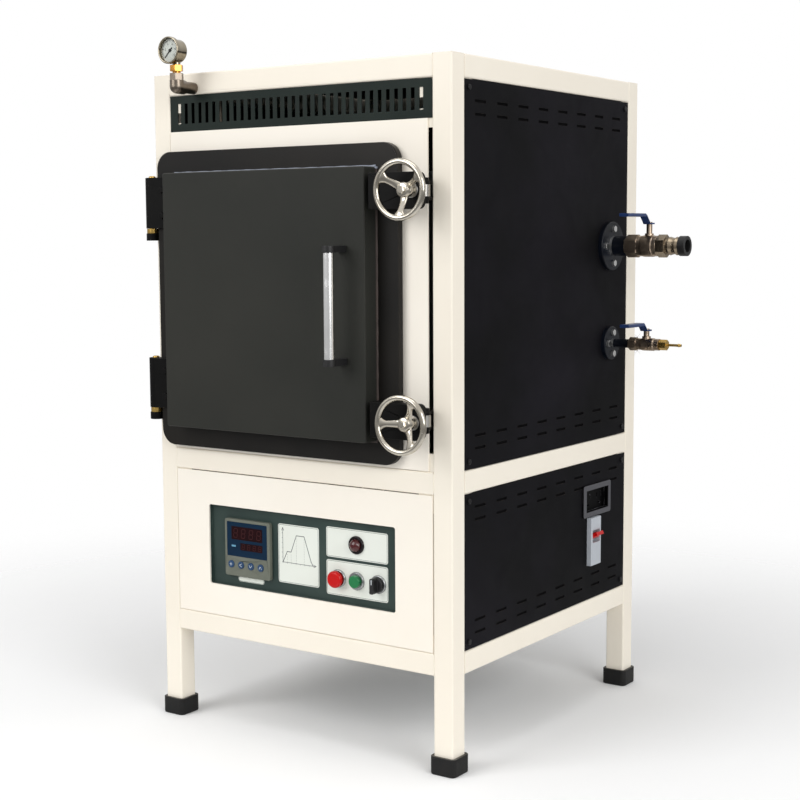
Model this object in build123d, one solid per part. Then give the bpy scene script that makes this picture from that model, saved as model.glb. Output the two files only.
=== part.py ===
from build123d import *
import os
from math import cos, radians, sin

# Box vacuum furnace on a welded square-tube frame. Millimetres.
# The origin is on the floor under the middle of the frame.
# +X is the right-hand side seen from the front, the door faces -Y, +Z is up.

# Frame
TUBE = 35.0
TUBE_WALL = 2.0
TUBE_CORNER = 3.0
LEG_HEIGHT = 153.0
LOWER_BAY_HEIGHT = 244.0
TOP_SPACE = 170.0
REAR_SPACE = 70.0
FOOT_HEIGHT = 29.0
FOOT_WALL = 5.4
FOOT_FLOOR = 8.0
FOOT_PLAY = 0.1
TAB_SIZE = 28.0
TAB_THICKNESS = 3.0

# Sheet-metal panels
PANEL = 1.5
PANEL_INSET = 1.5
PANEL_PLAY = 1.0
SHELF = 2.0
SHELF_MARGIN = 8.0
GRILLE_HEIGHT = 58.5
GRILLE_MARGIN = 16.0
GRILLE_PITCH = 15.0
GRILLE_SLOT_WIDTH = 7.0
GRILLE_SLOT_HEIGHT = 33.0
CLAMP_GAP = 8.0
VENT_MARGIN = 30.0
VENT_PITCH = 64.0
VENT_LENGTH = 31.0
VENT_HEIGHT = 4.5
VENT_ROW_STEP = 19.7
UPPER_VENT_EDGE = 30.5
LOWER_VENT_EDGE = 22.5
SCREW_RADIUS = 2.5
SCREW_HEAD_RADIUS = 4.5
SCREW_HEAD = 2.8
SCREW_LENGTH = 10.0
SCREW_EDGE = 13.0
HOLE_PLAY = 0.3
RUNNING_PLAY = 0.05

# Vacuum vessel, its flange and the hot chamber
VESSEL_SIZE = 400.0
VESSEL_WALL = 5.0
VESSEL_STAND = 48.0
VESSEL_DEPTH = 540.0
VESSEL_FOOT_WIDTH = 40.0
RIB_HEIGHT = 6.0
RIB_WIDTH = 12.0
RIB_COUNT = 3
FLANGE_RIM = 15.0
FLANGE_THICKNESS = 14.0
FLANGE_CORNER = 18.0
HINGE_SIDE_GAP = 10.0
CLAMP_SIDE_GAP = 80.0
SEAL_RADIUS = 4.0
SEAL_PROUD = 1.7
BOARD = 72.0
BOARD_PLAY = 0.3
CHAMBER_DEPTH = 450.0
HEARTH = 8.0
HEARTH_CHAMFER = 6.0
ELEMENT_RADIUS = 3.0
TERMINAL_RADIUS = 6.0
ELEMENT_SPAN = 56.0
ELEMENT_WALL_GAP = 10.0
ELEMENT_FLOOR_GAP = 26.0
HOLDER_RADIUS = 13.0
HOLDER_HEIGHT = 26.0
TERMINAL_TOP = 46.0
PROBE_RADIUS = 4.0
PROBE_REACH = 30.0
PROBE_HEAD_RADIUS = 18.0
PROBE_HEAD = 22.0

# Door
DOOR_OVERLAP = 43.5
DOOR_PLATE = 12.0
DOOR_GAP = 2.0
DOOR_CORNER = 28.0
DOOR_BOX_INSET_X = 40.0
DOOR_BOX_INSET_Z = 36.0
DOOR_BOX_DEPTH = 31.0
DOOR_BOX_SHEET = 3.0
DOOR_BOX_CORNER = 4.0
PLUG_DEPTH = 42.0
PLUG_CLEARANCE = 5.0
PLUG_TAPER = 7.0
HANDLE_FROM_EDGE = 41.0
HANDLE_RADIUS = 8.0
HANDLE_LENGTH = 160.0
HANDLE_STAND_OFF = 35.0
HANDLE_CAP = 10.0
HANDLE_CAP_RADIUS = 10.0
HANDLE_ARM_WIDTH = 16.0

# Hinges
HINGE_FROM_EDGE = 93.5
HINGE_OUTSET = 13.0
HINGE_RADIUS = 11.5
HINGE_BARREL = 84.0
HINGE_COLLAR = 8.0
HINGE_COLLAR_RADIUS = 10.5
HINGE_LUG = 12.0
HINGE_PIN_RADIUS = 6.0
HINGE_PIN_DOME = 3.0
HINGE_STRAP_WIDTH = 36.0
HINGE_STRAP = 8.0

# Clamp screws with hand wheels
CLAMP_FROM_EDGE = 73.5
CLAMP_TRAVEL = 18.0
NUT_RADIUS = 10.0
NUT_HEIGHT = 17.4
NUT_FORWARD = 17.0
NUT_BORE_PLAY = 1.4
TRUNNION_RADIUS = 4.0
TRUNNION_LENGTH = 6.0
EAR_THICKNESS = 5.0
EAR_RADIUS = 9.0
EAR_NECK = 7.4
BOSS_HEIGHT = 5.0
SPINDLE_RADIUS = 5.0
LUG_CLEARANCE = 2.0
LUG_THICKNESS = 18.0
LUG_HEIGHT = 54.0
LUG_OVERHANG = 12.0
LUG_FOOT = 31.0
WASHER_RADIUS = 11.0
WASHER = 3.0
HUB_RADIUS = 11.0
HUB_LENGTH = 23.0
WHEEL_RADIUS = 40.5
RIM_RADIUS = 4.5
WHEEL_DISH = 11.0
SPOKE_RADIUS = 3.4
SPOKES = 3
UPPER_SPOKE_ANGLE = 30.0
LOWER_SPOKE_ANGLE = 60.0

# Control panel
WINDOW_WIDTH = 380.0
WINDOW_HEIGHT = 134.5
WINDOW_DROP = 123.2
WINDOW_CORNER = 4.0
TRAY_DEPTH = 8.0
TRAY_SHEET = 1.5
TRAY_FLANGE = 10.0
CONTROLLER = 96.0
CONTROLLER_CUTOUT = 92.0
CONTROLLER_BODY = 90.0
CONTROLLER_BODY_DEPTH = 80.0
CONTROLLER_INSET = 81.5
CONTROLLER_Z = -1.0
SCREEN_WIDTH = 86.0
SCREEN_HEIGHT = 58.0
SCREEN_RISE = 14.5
SCREEN_RECESS = 0.8
KEY_COUNT = 4
KEY_PITCH = 21.0
KEY_RADIUS = 6.0
KEY_DROP = 28.0
KEY_PROUD = 1.6
KEY_STEM = 6.0
KEY_TRAVEL = 0.8
CONTROLS_INSET = 79.0
LAMP_RISE = 29.5
BUTTON_DROP = 28.0
STOP_OFFSET = -36.0
SELECTOR_OFFSET = 42.0
BEZEL_RADIUS = 14.5
BEZEL = 4.0
BARREL_RADIUS = 11.0
BORE_RADIUS = 10.0
BARREL_LENGTH = 32.0
STEM_LENGTH = 20.0
LENS_HEIGHT = 8.0
STOP_RADIUS = 13.5
STOP_HEAD = 7.0
STOP_TRAVEL = 4.0
START_PROUD = 6.0
START_TRAVEL = 3.0
TRAVEL_MARGIN = 0.6
KNOB_RADIUS = 12.5
KNOB_BASE = 5.0
KNOB_GRIP_WIDTH = 8.0
KNOB_GRIP_HEIGHT = 11.0

# Breaker and socket on the right-hand lower panel
BREAKER_WIDTH = 36.0
BREAKER_HEIGHT = 84.0
BREAKER_DEPTH = 66.0
BREAKER_PROUD = 7.0
BREAKER_FROM_BACK = 158.0
BREAKER_DROP = 141.0
BREAKER_CUTOUT_PLAY = 1.0
TOGGLE_SLOT_HEIGHT = 22.0
TOGGLE_SLOT_DEPTH = 12.0
TOGGLE_SLOT_WIDTH = 27.0
TOGGLE_RISE = 9.0
TOGGLE_HUB_RADIUS = 5.0
TOGGLE_PIN_RADIUS = 1.5
TOGGLE_PIN = 2.5
TOGGLE_REACH = 14.0
TOGGLE_WIDTH = 6.0
TOGGLE_TILT = 25.0
RAIL_HEIGHT = 35.0
RAIL_DEPTH = 7.5
RAIL_SHEET = 1.0
RAIL_LENGTH = 120.0
RAIL_POST_RADIUS = 5.0
SOCKET_WIDTH = 100.0
SOCKET_HEIGHT = 56.0
SOCKET_FROM_BACK = 145.0
SOCKET_DROP = 69.5
SOCKET_RIM = 4.0
SOCKET_RIM_PROUD = 4.0
SOCKET_BODY_INSET = 5.0
SOCKET_BODY_DEPTH = 38.0
SOCKET_RECESS = 9.0
SOCKET_SLOT_DEPTH = 14.0

# Power unit in the lower bay
UNIT_WIDTH = 120.0
UNIT_DEPTH = 150.0
UNIT_BASE = 10.0
UNIT_FIN_HEIGHT = 40.0
UNIT_FIN = 3.0
UNIT_FINS = 9
UNIT_BODY_HEIGHT = 55.0
UNIT_X = -60.0

# Vacuum and gas ports on the right-hand side
PORT_FROM_BACK = 33.0
PUMP_RISE = 84.4
GAS_DROP = 84.0
PORT_FLANGE = 8.0
PUMP_FLANGE_RADIUS = 42.0
PUMP_PIPE_RADIUS = 17.0
PUMP_PIPE_WALL = 3.0
PUMP_PIPE_REACH = 36.0
PUMP_BODY_RADIUS = 18.5
PUMP_BODY_LENGTH = 58.0
PUMP_HEX = 34.0
PUMP_HEX_LENGTH = 22.0
PUMP_RING_RADIUS = 17.6
PUMP_STEM_BACK = 18.0
PUMP_STEM_RISE = 41.0
PUMP_LEVER_LENGTH = 96.0
PUMP_LEVER_RISE = 14.0
UNION_LENGTH = 40.0
UNION_HEX_LENGTH = 16.0
UNION_RADIUS = 14.0
UNION_RIDGE_RADIUS = 15.8
HOSE_END_RADIUS = 17.0
HOSE_END_LENGTH = 13.0
GAS_FLANGE_RADIUS = 29.0
GAS_PIPE_RADIUS = 7.5
GAS_PIPE_WALL = 2.0
GAS_PIPE_REACH = 42.0
GAS_BODY_RADIUS = 11.0
GAS_BODY_LENGTH = 56.0
GAS_HEX = 20.0
GAS_HEX_LENGTH = 14.0
GAS_RING_RADIUS = 10.0
GAS_STEM_BACK = 25.0
GAS_STEM_RISE = 27.0
GAS_LEVER_LENGTH = 84.0
GAS_LEVER_RISE = 11.0
BARB_HEX = 16.0
BARB_HEX_LENGTH = 14.0
BARB_RADIUS = 3.0
BARB_LENGTH = 26.0
BARB_RIDGE = 6.0
STEM_RADIUS = 5.0
STEM_NUT = 4.0
LEVER_WIDTH = 14.0
LEVER_PLATE = 2.5
LEVER_EYE_RADIUS = 9.0
LEVER_SLEEVE = 1.6
FLANGE_BOLT_RADIUS = 3.0
FLANGE_BOLT_HEAD = 10.0
FLANGE_BOLT_HEIGHT = 4.5

# Vacuum gauge on the front top rail
GAUGE_X = 89.0
GAUGE_FORWARD = 40.0
GAUGE_PIPE_DROP = 25.0
GAUGE_PIPE_RADIUS = 9.5
GAUGE_LINE_RADIUS = 4.0
GAUGE_LINE_BEND = 20.0
GAUGE_LINE_REACH = 30.0
GAUGE_UNION = 20.0
GAUGE_UNION_TOP = -4.0
GAUGE_HEX = 19.0
GAUGE_HEX_HEIGHT = 10.0
GAUGE_THROAT = 3.5
GAUGE_NECK = 3.0
GAUGE_NECK_RADIUS = 6.5
GAUGE_RADIUS = 21.5
GAUGE_BEZEL = 7.0
GAUGE_BODY_RADIUS = 18.5
GAUGE_DEPTH = 27.0
GAUGE_FACE_FORWARD = 20.0
GAUGE_WALL = 2.5
GAUGE_RECESS = 6.5
GAUGE_LENS = 2.0
POINTER_LENGTH = 15.0
POINTER_TAIL = 6.0
POINTER_WIDTH = 1.6
POINTER_THICKNESS = 0.8
POINTER_GAP = 0.8
POINTER_HUB_RADIUS = 2.6
POINTER_SHAFT_RADIUS = 1.2
POINTER_SHAFT = 5.0
POINTER_START = 225.0

# Planes of the frame and places worked out from the sizes above
FLANGE_SIZE = VESSEL_SIZE + 2 * FLANGE_RIM
FRAME_WIDTH = 2 * TUBE + HINGE_SIDE_GAP + FLANGE_SIZE + CLAMP_SIDE_GAP
FRAME_DEPTH = VESSEL_DEPTH + REAR_SPACE
FRONT = -FRAME_DEPTH / 2
BACK = FRAME_DEPTH / 2
LEFT = -FRAME_WIDTH / 2
RIGHT = FRAME_WIDTH / 2
BOTTOM_BAY = LEG_HEIGHT + TUBE
MIDDLE_RAIL_Z = BOTTOM_BAY + LOWER_BAY_HEIGHT
UPPER_BAY = MIDDLE_RAIL_Z + TUBE
VESSEL_Z = UPPER_BAY + SHELF + VESSEL_STAND + VESSEL_SIZE / 2
VESSEL_TOP = VESSEL_Z + VESSEL_SIZE / 2
FRAME_TOP = VESSEL_TOP + TOP_SPACE
TOP_RAIL_Z = FRAME_TOP - TUBE
OPEN_WIDTH = FRAME_WIDTH - 2 * TUBE
OPEN_DEPTH = FRAME_DEPTH - 2 * TUBE
PANEL_BACK = PANEL_INSET + PANEL

VESSEL_X = LEFT + TUBE + HINGE_SIDE_GAP + FLANGE_SIZE / 2
VESSEL_BACK = FRONT + VESSEL_DEPTH
VESSEL_INNER = VESSEL_SIZE - 2 * VESSEL_WALL
BOARD_FRONT = FRONT + FLANGE_THICKNESS / 2
CHAMBER = VESSEL_INNER - 2 * BOARD_PLAY - 2 * BOARD
CHAMBER_BACK = BOARD_FRONT + CHAMBER_DEPTH

DOOR_SIZE = VESSEL_SIZE + 2 * DOOR_OVERLAP
DOOR_LEFT = VESSEL_X - DOOR_SIZE / 2
DOOR_RIGHT = VESSEL_X + DOOR_SIZE / 2
DOOR_BACK = FRONT - DOOR_GAP
DOOR_FRONT = DOOR_BACK - DOOR_PLATE
BOX_WIDTH = DOOR_SIZE - 2 * DOOR_BOX_INSET_X
BOX_HEIGHT = DOOR_SIZE - 2 * DOOR_BOX_INSET_Z
BOX_FRONT = DOOR_FRONT - DOOR_BOX_DEPTH
HINGE_X = DOOR_LEFT - HINGE_OUTSET
HINGE_Y = FRONT - HINGE_RADIUS - 0.5
HINGE_SPREAD = DOOR_SIZE / 2 - HINGE_FROM_EDGE
HINGE_HEIGHT = HINGE_LUG + HINGE_COLLAR + HINGE_BARREL

CLAMP_X = RIGHT - TUBE - CLAMP_GAP / 2
CLAMP_SPREAD = DOOR_SIZE / 2 - CLAMP_FROM_EDGE
CLAMP_HEIGHTS = {"upper": VESSEL_Z + CLAMP_SPREAD, "lower": VESSEL_Z - CLAMP_SPREAD}
NUT_Y = FRONT - NUT_FORWARD
EAR_INNER = NUT_HEIGHT / 2 + HOLE_PLAY
LUG_BACK = NUT_Y - NUT_RADIUS - LUG_CLEARANCE
LUG_FRONT = LUG_BACK - LUG_THICKNESS
HUB_BACK = LUG_FRONT - WASHER - HOLE_PLAY
HUB_FRONT = HUB_BACK - HUB_LENGTH
RIM_Y = HUB_FRONT + RIM_RADIUS - WHEEL_DISH

WINDOW_Z = MIDDLE_RAIL_Z - WINDOW_DROP
TRAY_FACE = FRONT + TRAY_DEPTH
CONTROLLER_X = CONTROLLER_INSET - WINDOW_WIDTH / 2
CONTROLS_X = WINDOW_WIDTH / 2 - CONTROLS_INSET
CONTROLLER_AXIS_Z = WINDOW_Z + CONTROLLER_Z
KEY_Z = CONTROLLER_AXIS_Z - KEY_DROP
BEZEL_FRONT = TRAY_FACE - BEZEL
LAMP_Z = WINDOW_Z + LAMP_RISE
BUTTON_Z = WINDOW_Z - BUTTON_DROP

BREAKER_FRONT = RIGHT + BREAKER_PROUD
BREAKER_BACK = BREAKER_FRONT - BREAKER_DEPTH
BREAKER_Y = BACK - BREAKER_FROM_BACK
BREAKER_Z = MIDDLE_RAIL_Z - BREAKER_DROP
TOGGLE_Z = BREAKER_Z + TOGGLE_RISE
TOGGLE_X = BREAKER_FRONT - TOGGLE_HUB_RADIUS - HOLE_PLAY
SOCKET_Y = BACK - SOCKET_FROM_BACK
SOCKET_Z = MIDDLE_RAIL_Z - SOCKET_DROP

SIDE_FACE = RIGHT - PANEL_INSET
PORT_Y = VESSEL_BACK - PORT_FROM_BACK
PUMP_Z = VESSEL_Z + PUMP_RISE
GAS_Z = VESSEL_Z - GAS_DROP
PUMP_VALVE_X = SIDE_FACE + PUMP_PIPE_REACH
GAS_VALVE_X = SIDE_FACE + GAS_PIPE_REACH
PUMP_VALVE_END = PUMP_VALVE_X + PUMP_BODY_LENGTH
GAS_VALVE_END = GAS_VALVE_X + GAS_BODY_LENGTH
PUMP_STEM_X = PUMP_VALVE_END - PUMP_STEM_BACK
GAS_STEM_X = GAS_VALVE_END - GAS_STEM_BACK

GAUGE_AXIS_X = LEFT + GAUGE_X
GAUGE_STEM_Y = FRONT - GAUGE_FORWARD
GAUGE_PIPE_Z = FRAME_TOP - GAUGE_PIPE_DROP
GAUGE_STEM_Z = FRAME_TOP + GAUGE_UNION_TOP
GAUGE_CASE_Z = GAUGE_STEM_Z + GAUGE_NECK + GAUGE_HEX_HEIGHT + GAUGE_THROAT + GAUGE_BODY_RADIUS
GAUGE_FRONT = GAUGE_STEM_Y - GAUGE_FACE_FORWARD
GAUGE_DIAL = GAUGE_FRONT + GAUGE_RECESS


def block(x, y, z):
    """A box between two values along each axis."""
    size = [high - low for low, high in (x, y, z)]
    centre = [(low + high) / 2 for low, high in (x, y, z)]
    return Pos(*centre) * Box(*size)


def bar(radius, start, end):
    """A round bar from one point to another."""
    axis = Vector(*end) - Vector(*start)
    plane = Plane(origin=start, z_dir=axis)
    return plane * Cylinder(radius, axis.length, align=(Align.CENTER, Align.CENTER, Align.MIN))


def hexagon(across_flats, start, end):
    """A hexagonal bar from one point to another."""
    axis = Vector(*end) - Vector(*start)
    outline = RegularPolygon(across_flats / 2, 6, major_radius=False)
    return extrude(Plane(origin=start, z_dir=axis) * outline, axis.length)


def facing(x, z, y):
    """A drawing plane that faces the front, with its origin at x, y, z."""
    return Plane(origin=(x, y, z), x_dir=(1, 0, 0), z_dir=(0, -1, 0))


def front_plate(centre, width, height, corner, y_back, y_front):
    """A plate with rounded corners, parallel to the front."""
    plane = facing(centre[0], centre[1], y_back)
    return extrude(plane * RectangleRounded(width, height, corner), y_back - y_front)


def save(name, *solids):
    """One file for one sub-part, with each of its solids kept separate."""
    found = [solid for shape in solids for solid in shape.solids()]
    export_step(Compound(found), os.path.join("parts", name + ".step"))


def square_tube(length):
    """A square tube along +Z with rounded outer corners, open at both ends."""
    outer = extrude(RectangleRounded(TUBE, TUBE, TUBE_CORNER), length)
    inner = extrude(Rectangle(TUBE - 2 * TUBE_WALL, TUBE - 2 * TUBE_WALL), length)
    return outer - inner


def mirrored_x(shape):
    return shape.mirror(Plane.YZ)


def frame_posts():
    """Four upright tubes, each closed by a cap at the top."""
    post_x = RIGHT - TUBE / 2
    post_y = BACK - TUBE / 2
    length = FRAME_TOP - FOOT_FLOOR
    cap = extrude(Rectangle(TUBE - 2 * TUBE_WALL, TUBE - 2 * TUBE_WALL), TUBE_WALL)
    post = square_tube(length) + Pos(0, 0, length - TUBE_WALL) * cap
    return [Pos(x, y, FOOT_FLOOR) * post for x in (-post_x, post_x) for y in (-post_y, post_y)]


def frame_rails():
    """Rails at three heights, four to a level; the gauge's line passes through the front top one."""
    cross = Rot(0, 90, 0) * square_tube(OPEN_WIDTH)
    along = Rot(-90, 0, 0) * square_tube(OPEN_DEPTH)
    front_y = FRONT + TUBE / 2
    side_x = RIGHT - TUBE / 2
    line = bar(
        GAUGE_LINE_RADIUS + HOLE_PLAY,
        (GAUGE_AXIS_X, FRONT - 1, GAUGE_PIPE_Z),
        (GAUGE_AXIS_X, FRONT + TUBE + 1, GAUGE_PIPE_Z),
    )
    rails = []
    for bottom in (LEG_HEIGHT, MIDDLE_RAIL_Z, TOP_RAIL_Z):
        z = bottom + TUBE / 2
        rails.append(Pos(-OPEN_WIDTH / 2, front_y, z) * cross - line)
        rails.append(Pos(-OPEN_WIDTH / 2, -front_y, z) * cross)
        rails.append(Pos(-side_x, -OPEN_DEPTH / 2, z) * along)
        rails.append(Pos(side_x, -OPEN_DEPTH / 2, z) * along)
    return rails


def tab(across, up, towards_across, towards_up, plane):
    """A square tab in the corner of an opening, drilled for a panel screw."""
    outline = Pos(towards_across * TAB_SIZE / 2, towards_up * TAB_SIZE / 2) * Rectangle(TAB_SIZE, TAB_SIZE)
    drill = Pos(towards_across * SCREW_EDGE, towards_up * SCREW_EDGE)
    outline = outline - drill * Circle(SCREW_RADIUS + RUNNING_PLAY)
    return extrude(plane * Pos(across, up) * outline, -TAB_THICKNESS)


# Each opening: the plane of the panel's back, half its width, its bottom and its top
def side_plane(side):
    """The back of the panels on one side, looking outwards; side is 1 right, -1 left."""
    return Plane(origin=(side * (RIGHT - PANEL_BACK), 0, 0), x_dir=(0, side, 0), z_dir=(side, 0, 0))


FRONT_PLANE = Plane(origin=(0, FRONT + PANEL_BACK, 0), x_dir=(1, 0, 0), z_dir=(0, -1, 0))
REAR_PLANE = Plane(origin=(0, BACK - PANEL_BACK, 0), x_dir=(-1, 0, 0), z_dir=(0, 1, 0))
LOWER_OPENING = (BOTTOM_BAY, MIDDLE_RAIL_Z)
UPPER_OPENING = (UPPER_BAY, TOP_RAIL_Z)
GRILLE_BOTTOM = TOP_RAIL_Z - GRILLE_HEIGHT


def corner_tabs(plane, half_width, bottom, top):
    tabs = []
    for across in (-1, 1):
        tabs.append(tab(across * half_width, bottom, -across, 1, plane))
        tabs.append(tab(across * half_width, top, -across, -1, plane))
    return tabs


def frame_tabs():
    """Welded tabs at the corners of every panelled opening."""
    tabs = []
    for bottom, top in (LOWER_OPENING, UPPER_OPENING):
        tabs += corner_tabs(side_plane(1), OPEN_DEPTH / 2, bottom, top)
        tabs += corner_tabs(side_plane(-1), OPEN_DEPTH / 2, bottom, top)
        tabs += corner_tabs(REAR_PLANE, OPEN_WIDTH / 2, bottom, top)
    tabs += corner_tabs(FRONT_PLANE, OPEN_WIDTH / 2, *LOWER_OPENING)
    tabs += corner_tabs(FRONT_PLANE, OPEN_WIDTH / 2, *UPPER_OPENING)
    for across in (-1, 1):
        tabs.append(tab(across * OPEN_WIDTH / 2, GRILLE_BOTTOM - TAB_SIZE / 2, -across, 1, FRONT_PLANE))
    top_plane = Plane(origin=(0, 0, FRAME_TOP - PANEL_BACK))
    tabs += corner_tabs(top_plane, OPEN_WIDTH / 2, -OPEN_DEPTH / 2, OPEN_DEPTH / 2)
    return tabs


def foot_caps():
    """Moulded caps pressed over the lower ends of the posts."""
    width = TUBE + 2 * FOOT_WALL
    socket = TUBE + 2 * FOOT_PLAY
    cap = extrude(RectangleRounded(width, width, TUBE_CORNER + FOOT_WALL), FOOT_HEIGHT)
    cap = chamfer(cap.faces().sort_by(Axis.Z)[0].edges(), 1.5)
    hole = extrude(RectangleRounded(socket, socket, TUBE_CORNER), FOOT_HEIGHT - FOOT_FLOOR)
    cap = cap - Pos(0, 0, FOOT_FLOOR) * hole
    x = RIGHT - TUBE / 2
    y = BACK - TUBE / 2
    return [Pos(sx * x, sy * y, 0) * cap for sx in (-1, 1) for sy in (-1, 1)]


def vent_slots(plane, width, panel_bottom, panel_top, edge):
    """Two rows of slots near the top of a panel and two near its bottom."""
    rows = []
    for step in (0, 1):
        rows.append(panel_top - edge - step * VENT_ROW_STEP)
        rows.append(panel_bottom + edge + step * VENT_ROW_STEP)
    slots = []
    columns = int((width - 2 * VENT_MARGIN) // VENT_PITCH) + 1
    for column in range(columns):
        across = (column - (columns - 1) / 2) * VENT_PITCH
        for row in rows:
            outline = Pos(across, row) * Rectangle(VENT_LENGTH, VENT_HEIGHT)
            slots.append(extrude(plane * outline, PANEL))
    return slots


def panel(plane, width, bottom, top, vent_edge):
    """A flat panel that fills one opening of the frame; vent_edge is None where it has no slots."""
    low = bottom + PANEL_PLAY
    high = top - PANEL_PLAY
    half = width / 2 - PANEL_PLAY
    outline = Pos(0, (low + high) / 2) * Rectangle(2 * half, high - low)
    for across in (-1, 1):
        for up in (bottom + SCREW_EDGE, top - SCREW_EDGE):
            place = Pos(across * (width / 2 - SCREW_EDGE), up)
            outline = outline - place * Circle(SCREW_RADIUS + HOLE_PLAY)
    sheet = extrude(plane * outline, PANEL)
    if vent_edge is not None:
        sheet = sheet - vent_slots(plane, width, low, high, vent_edge)
    return sheet


def screw_places(plane, width, bottom, top):
    places = []
    for across in (-1, 1):
        for up in (bottom + SCREW_EDGE, top - SCREW_EDGE):
            places.append(plane * Pos(across * (width / 2 - SCREW_EDGE), up, PANEL))
    return places


def panel_screws():
    """Pan-head screws at the corners of the side, rear and top panels."""
    head = Cylinder(SCREW_HEAD_RADIUS, SCREW_HEAD, align=(Align.CENTER, Align.CENTER, Align.MIN))
    head = fillet(head.faces().sort_by(Axis.Z)[-1].edges(), SCREW_HEAD * 0.55)
    shank = Cylinder(SCREW_RADIUS, SCREW_LENGTH, align=(Align.CENTER, Align.CENTER, Align.MAX))
    screw = head + shank
    places = []
    for bottom, top in (LOWER_OPENING, UPPER_OPENING):
        places += screw_places(side_plane(1), OPEN_DEPTH, bottom, top)
        places += screw_places(side_plane(-1), OPEN_DEPTH, bottom, top)
        places += screw_places(REAR_PLANE, OPEN_WIDTH, bottom, top)
    top_plane = Plane(origin=(0, 0, FRAME_TOP - PANEL_BACK))
    places += screw_places(top_plane, OPEN_WIDTH, -OPEN_DEPTH / 2, OPEN_DEPTH / 2)
    return [place * screw for place in places]


def right_panels():
    """The upper panel passes the two port pipes; the lower one frames the breaker and the socket."""
    plane = side_plane(1)
    upper = panel(plane, OPEN_DEPTH, *UPPER_OPENING, UPPER_VENT_EDGE)
    for height, radius in ((PUMP_Z, PUMP_PIPE_RADIUS), (GAS_Z, GAS_PIPE_RADIUS)):
        upper = upper - bar(
            radius + 2 * HOLE_PLAY, (RIGHT - TUBE, PORT_Y, height), (RIGHT + TUBE, PORT_Y, height)
        )
    lower = panel(plane, OPEN_DEPTH, *LOWER_OPENING, LOWER_VENT_EDGE)
    breaker = block(
        (RIGHT - TUBE, RIGHT + TUBE),
        (
            BREAKER_Y - BREAKER_WIDTH / 2 - BREAKER_CUTOUT_PLAY,
            BREAKER_Y + BREAKER_WIDTH / 2 + BREAKER_CUTOUT_PLAY,
        ),
        (
            BREAKER_Z - BREAKER_HEIGHT / 2 - BREAKER_CUTOUT_PLAY,
            BREAKER_Z + BREAKER_HEIGHT / 2 + BREAKER_CUTOUT_PLAY,
        ),
    )
    half_width = SOCKET_WIDTH / 2 - SOCKET_BODY_INSET + HOLE_PLAY
    half_height = SOCKET_HEIGHT / 2 - SOCKET_BODY_INSET + HOLE_PLAY
    socket = block(
        (RIGHT - TUBE, RIGHT + TUBE),
        (SOCKET_Y - half_width, SOCKET_Y + half_width),
        (SOCKET_Z - half_height, SOCKET_Z + half_height),
    )
    return [upper, lower - breaker - socket]


def left_panels():
    plane = side_plane(-1)
    upper = panel(plane, OPEN_DEPTH, *UPPER_OPENING, UPPER_VENT_EDGE)
    lower = panel(plane, OPEN_DEPTH, *LOWER_OPENING, LOWER_VENT_EDGE)
    return [upper, lower]


def rear_panels():
    upper = panel(REAR_PLANE, OPEN_WIDTH, *UPPER_OPENING, UPPER_VENT_EDGE)
    lower = panel(REAR_PLANE, OPEN_WIDTH, *LOWER_OPENING, LOWER_VENT_EDGE)
    return [upper, lower]


def top_cover():
    plane = Plane(origin=(0, 0, FRAME_TOP - PANEL_BACK))
    return panel(plane, OPEN_WIDTH, -OPEN_DEPTH / 2, OPEN_DEPTH / 2, None)


def vent_grille():
    """A slotted plate across the front under the top rail."""
    low = GRILLE_BOTTOM
    high = TOP_RAIL_Z - PANEL_PLAY / 2
    width = OPEN_WIDTH - PANEL_PLAY
    outline = Pos(0, (low + high) / 2) * Rectangle(width, high - low)
    middle = (low + high) / 2
    slots = int((width - 2 * GRILLE_MARGIN) // GRILLE_PITCH) + 1
    for slot in range(slots):
        across = (slot - (slots - 1) / 2) * GRILLE_PITCH
        outline = outline - Pos(across, middle) * Rectangle(GRILLE_SLOT_WIDTH, GRILLE_SLOT_HEIGHT)
    return extrude(FRONT_PLANE * outline, PANEL)


def upper_front_panel():
    """The sheet round the furnace mouth; a gap at its right passes the clamp ears."""
    low = UPPER_BAY + PANEL_PLAY
    high = GRILLE_BOTTOM - HOLE_PLAY
    left = -OPEN_WIDTH / 2 + PANEL_PLAY / 2
    right = OPEN_WIDTH / 2 - CLAMP_GAP
    outline = Pos((left + right) / 2, (low + high) / 2) * Rectangle(right - left, high - low)
    mouth = FLANGE_SIZE + 2 * PANEL_PLAY
    outline = outline - Pos(VESSEL_X, VESSEL_Z) * RectangleRounded(mouth, mouth, FLANGE_CORNER)
    return extrude(FRONT_PLANE * outline, PANEL_BACK)


def lower_front_panel():
    """The sheet round the control window."""
    low = BOTTOM_BAY + PANEL_PLAY
    high = MIDDLE_RAIL_Z - PANEL_PLAY
    outline = Pos(0, (low + high) / 2) * Rectangle(OPEN_WIDTH - 2 * PANEL_PLAY, high - low)
    window = RectangleRounded(WINDOW_WIDTH, WINDOW_HEIGHT, WINDOW_CORNER)
    outline = outline - Pos(0, WINDOW_Z) * window
    return extrude(FRONT_PLANE * outline, PANEL_BACK)


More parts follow.
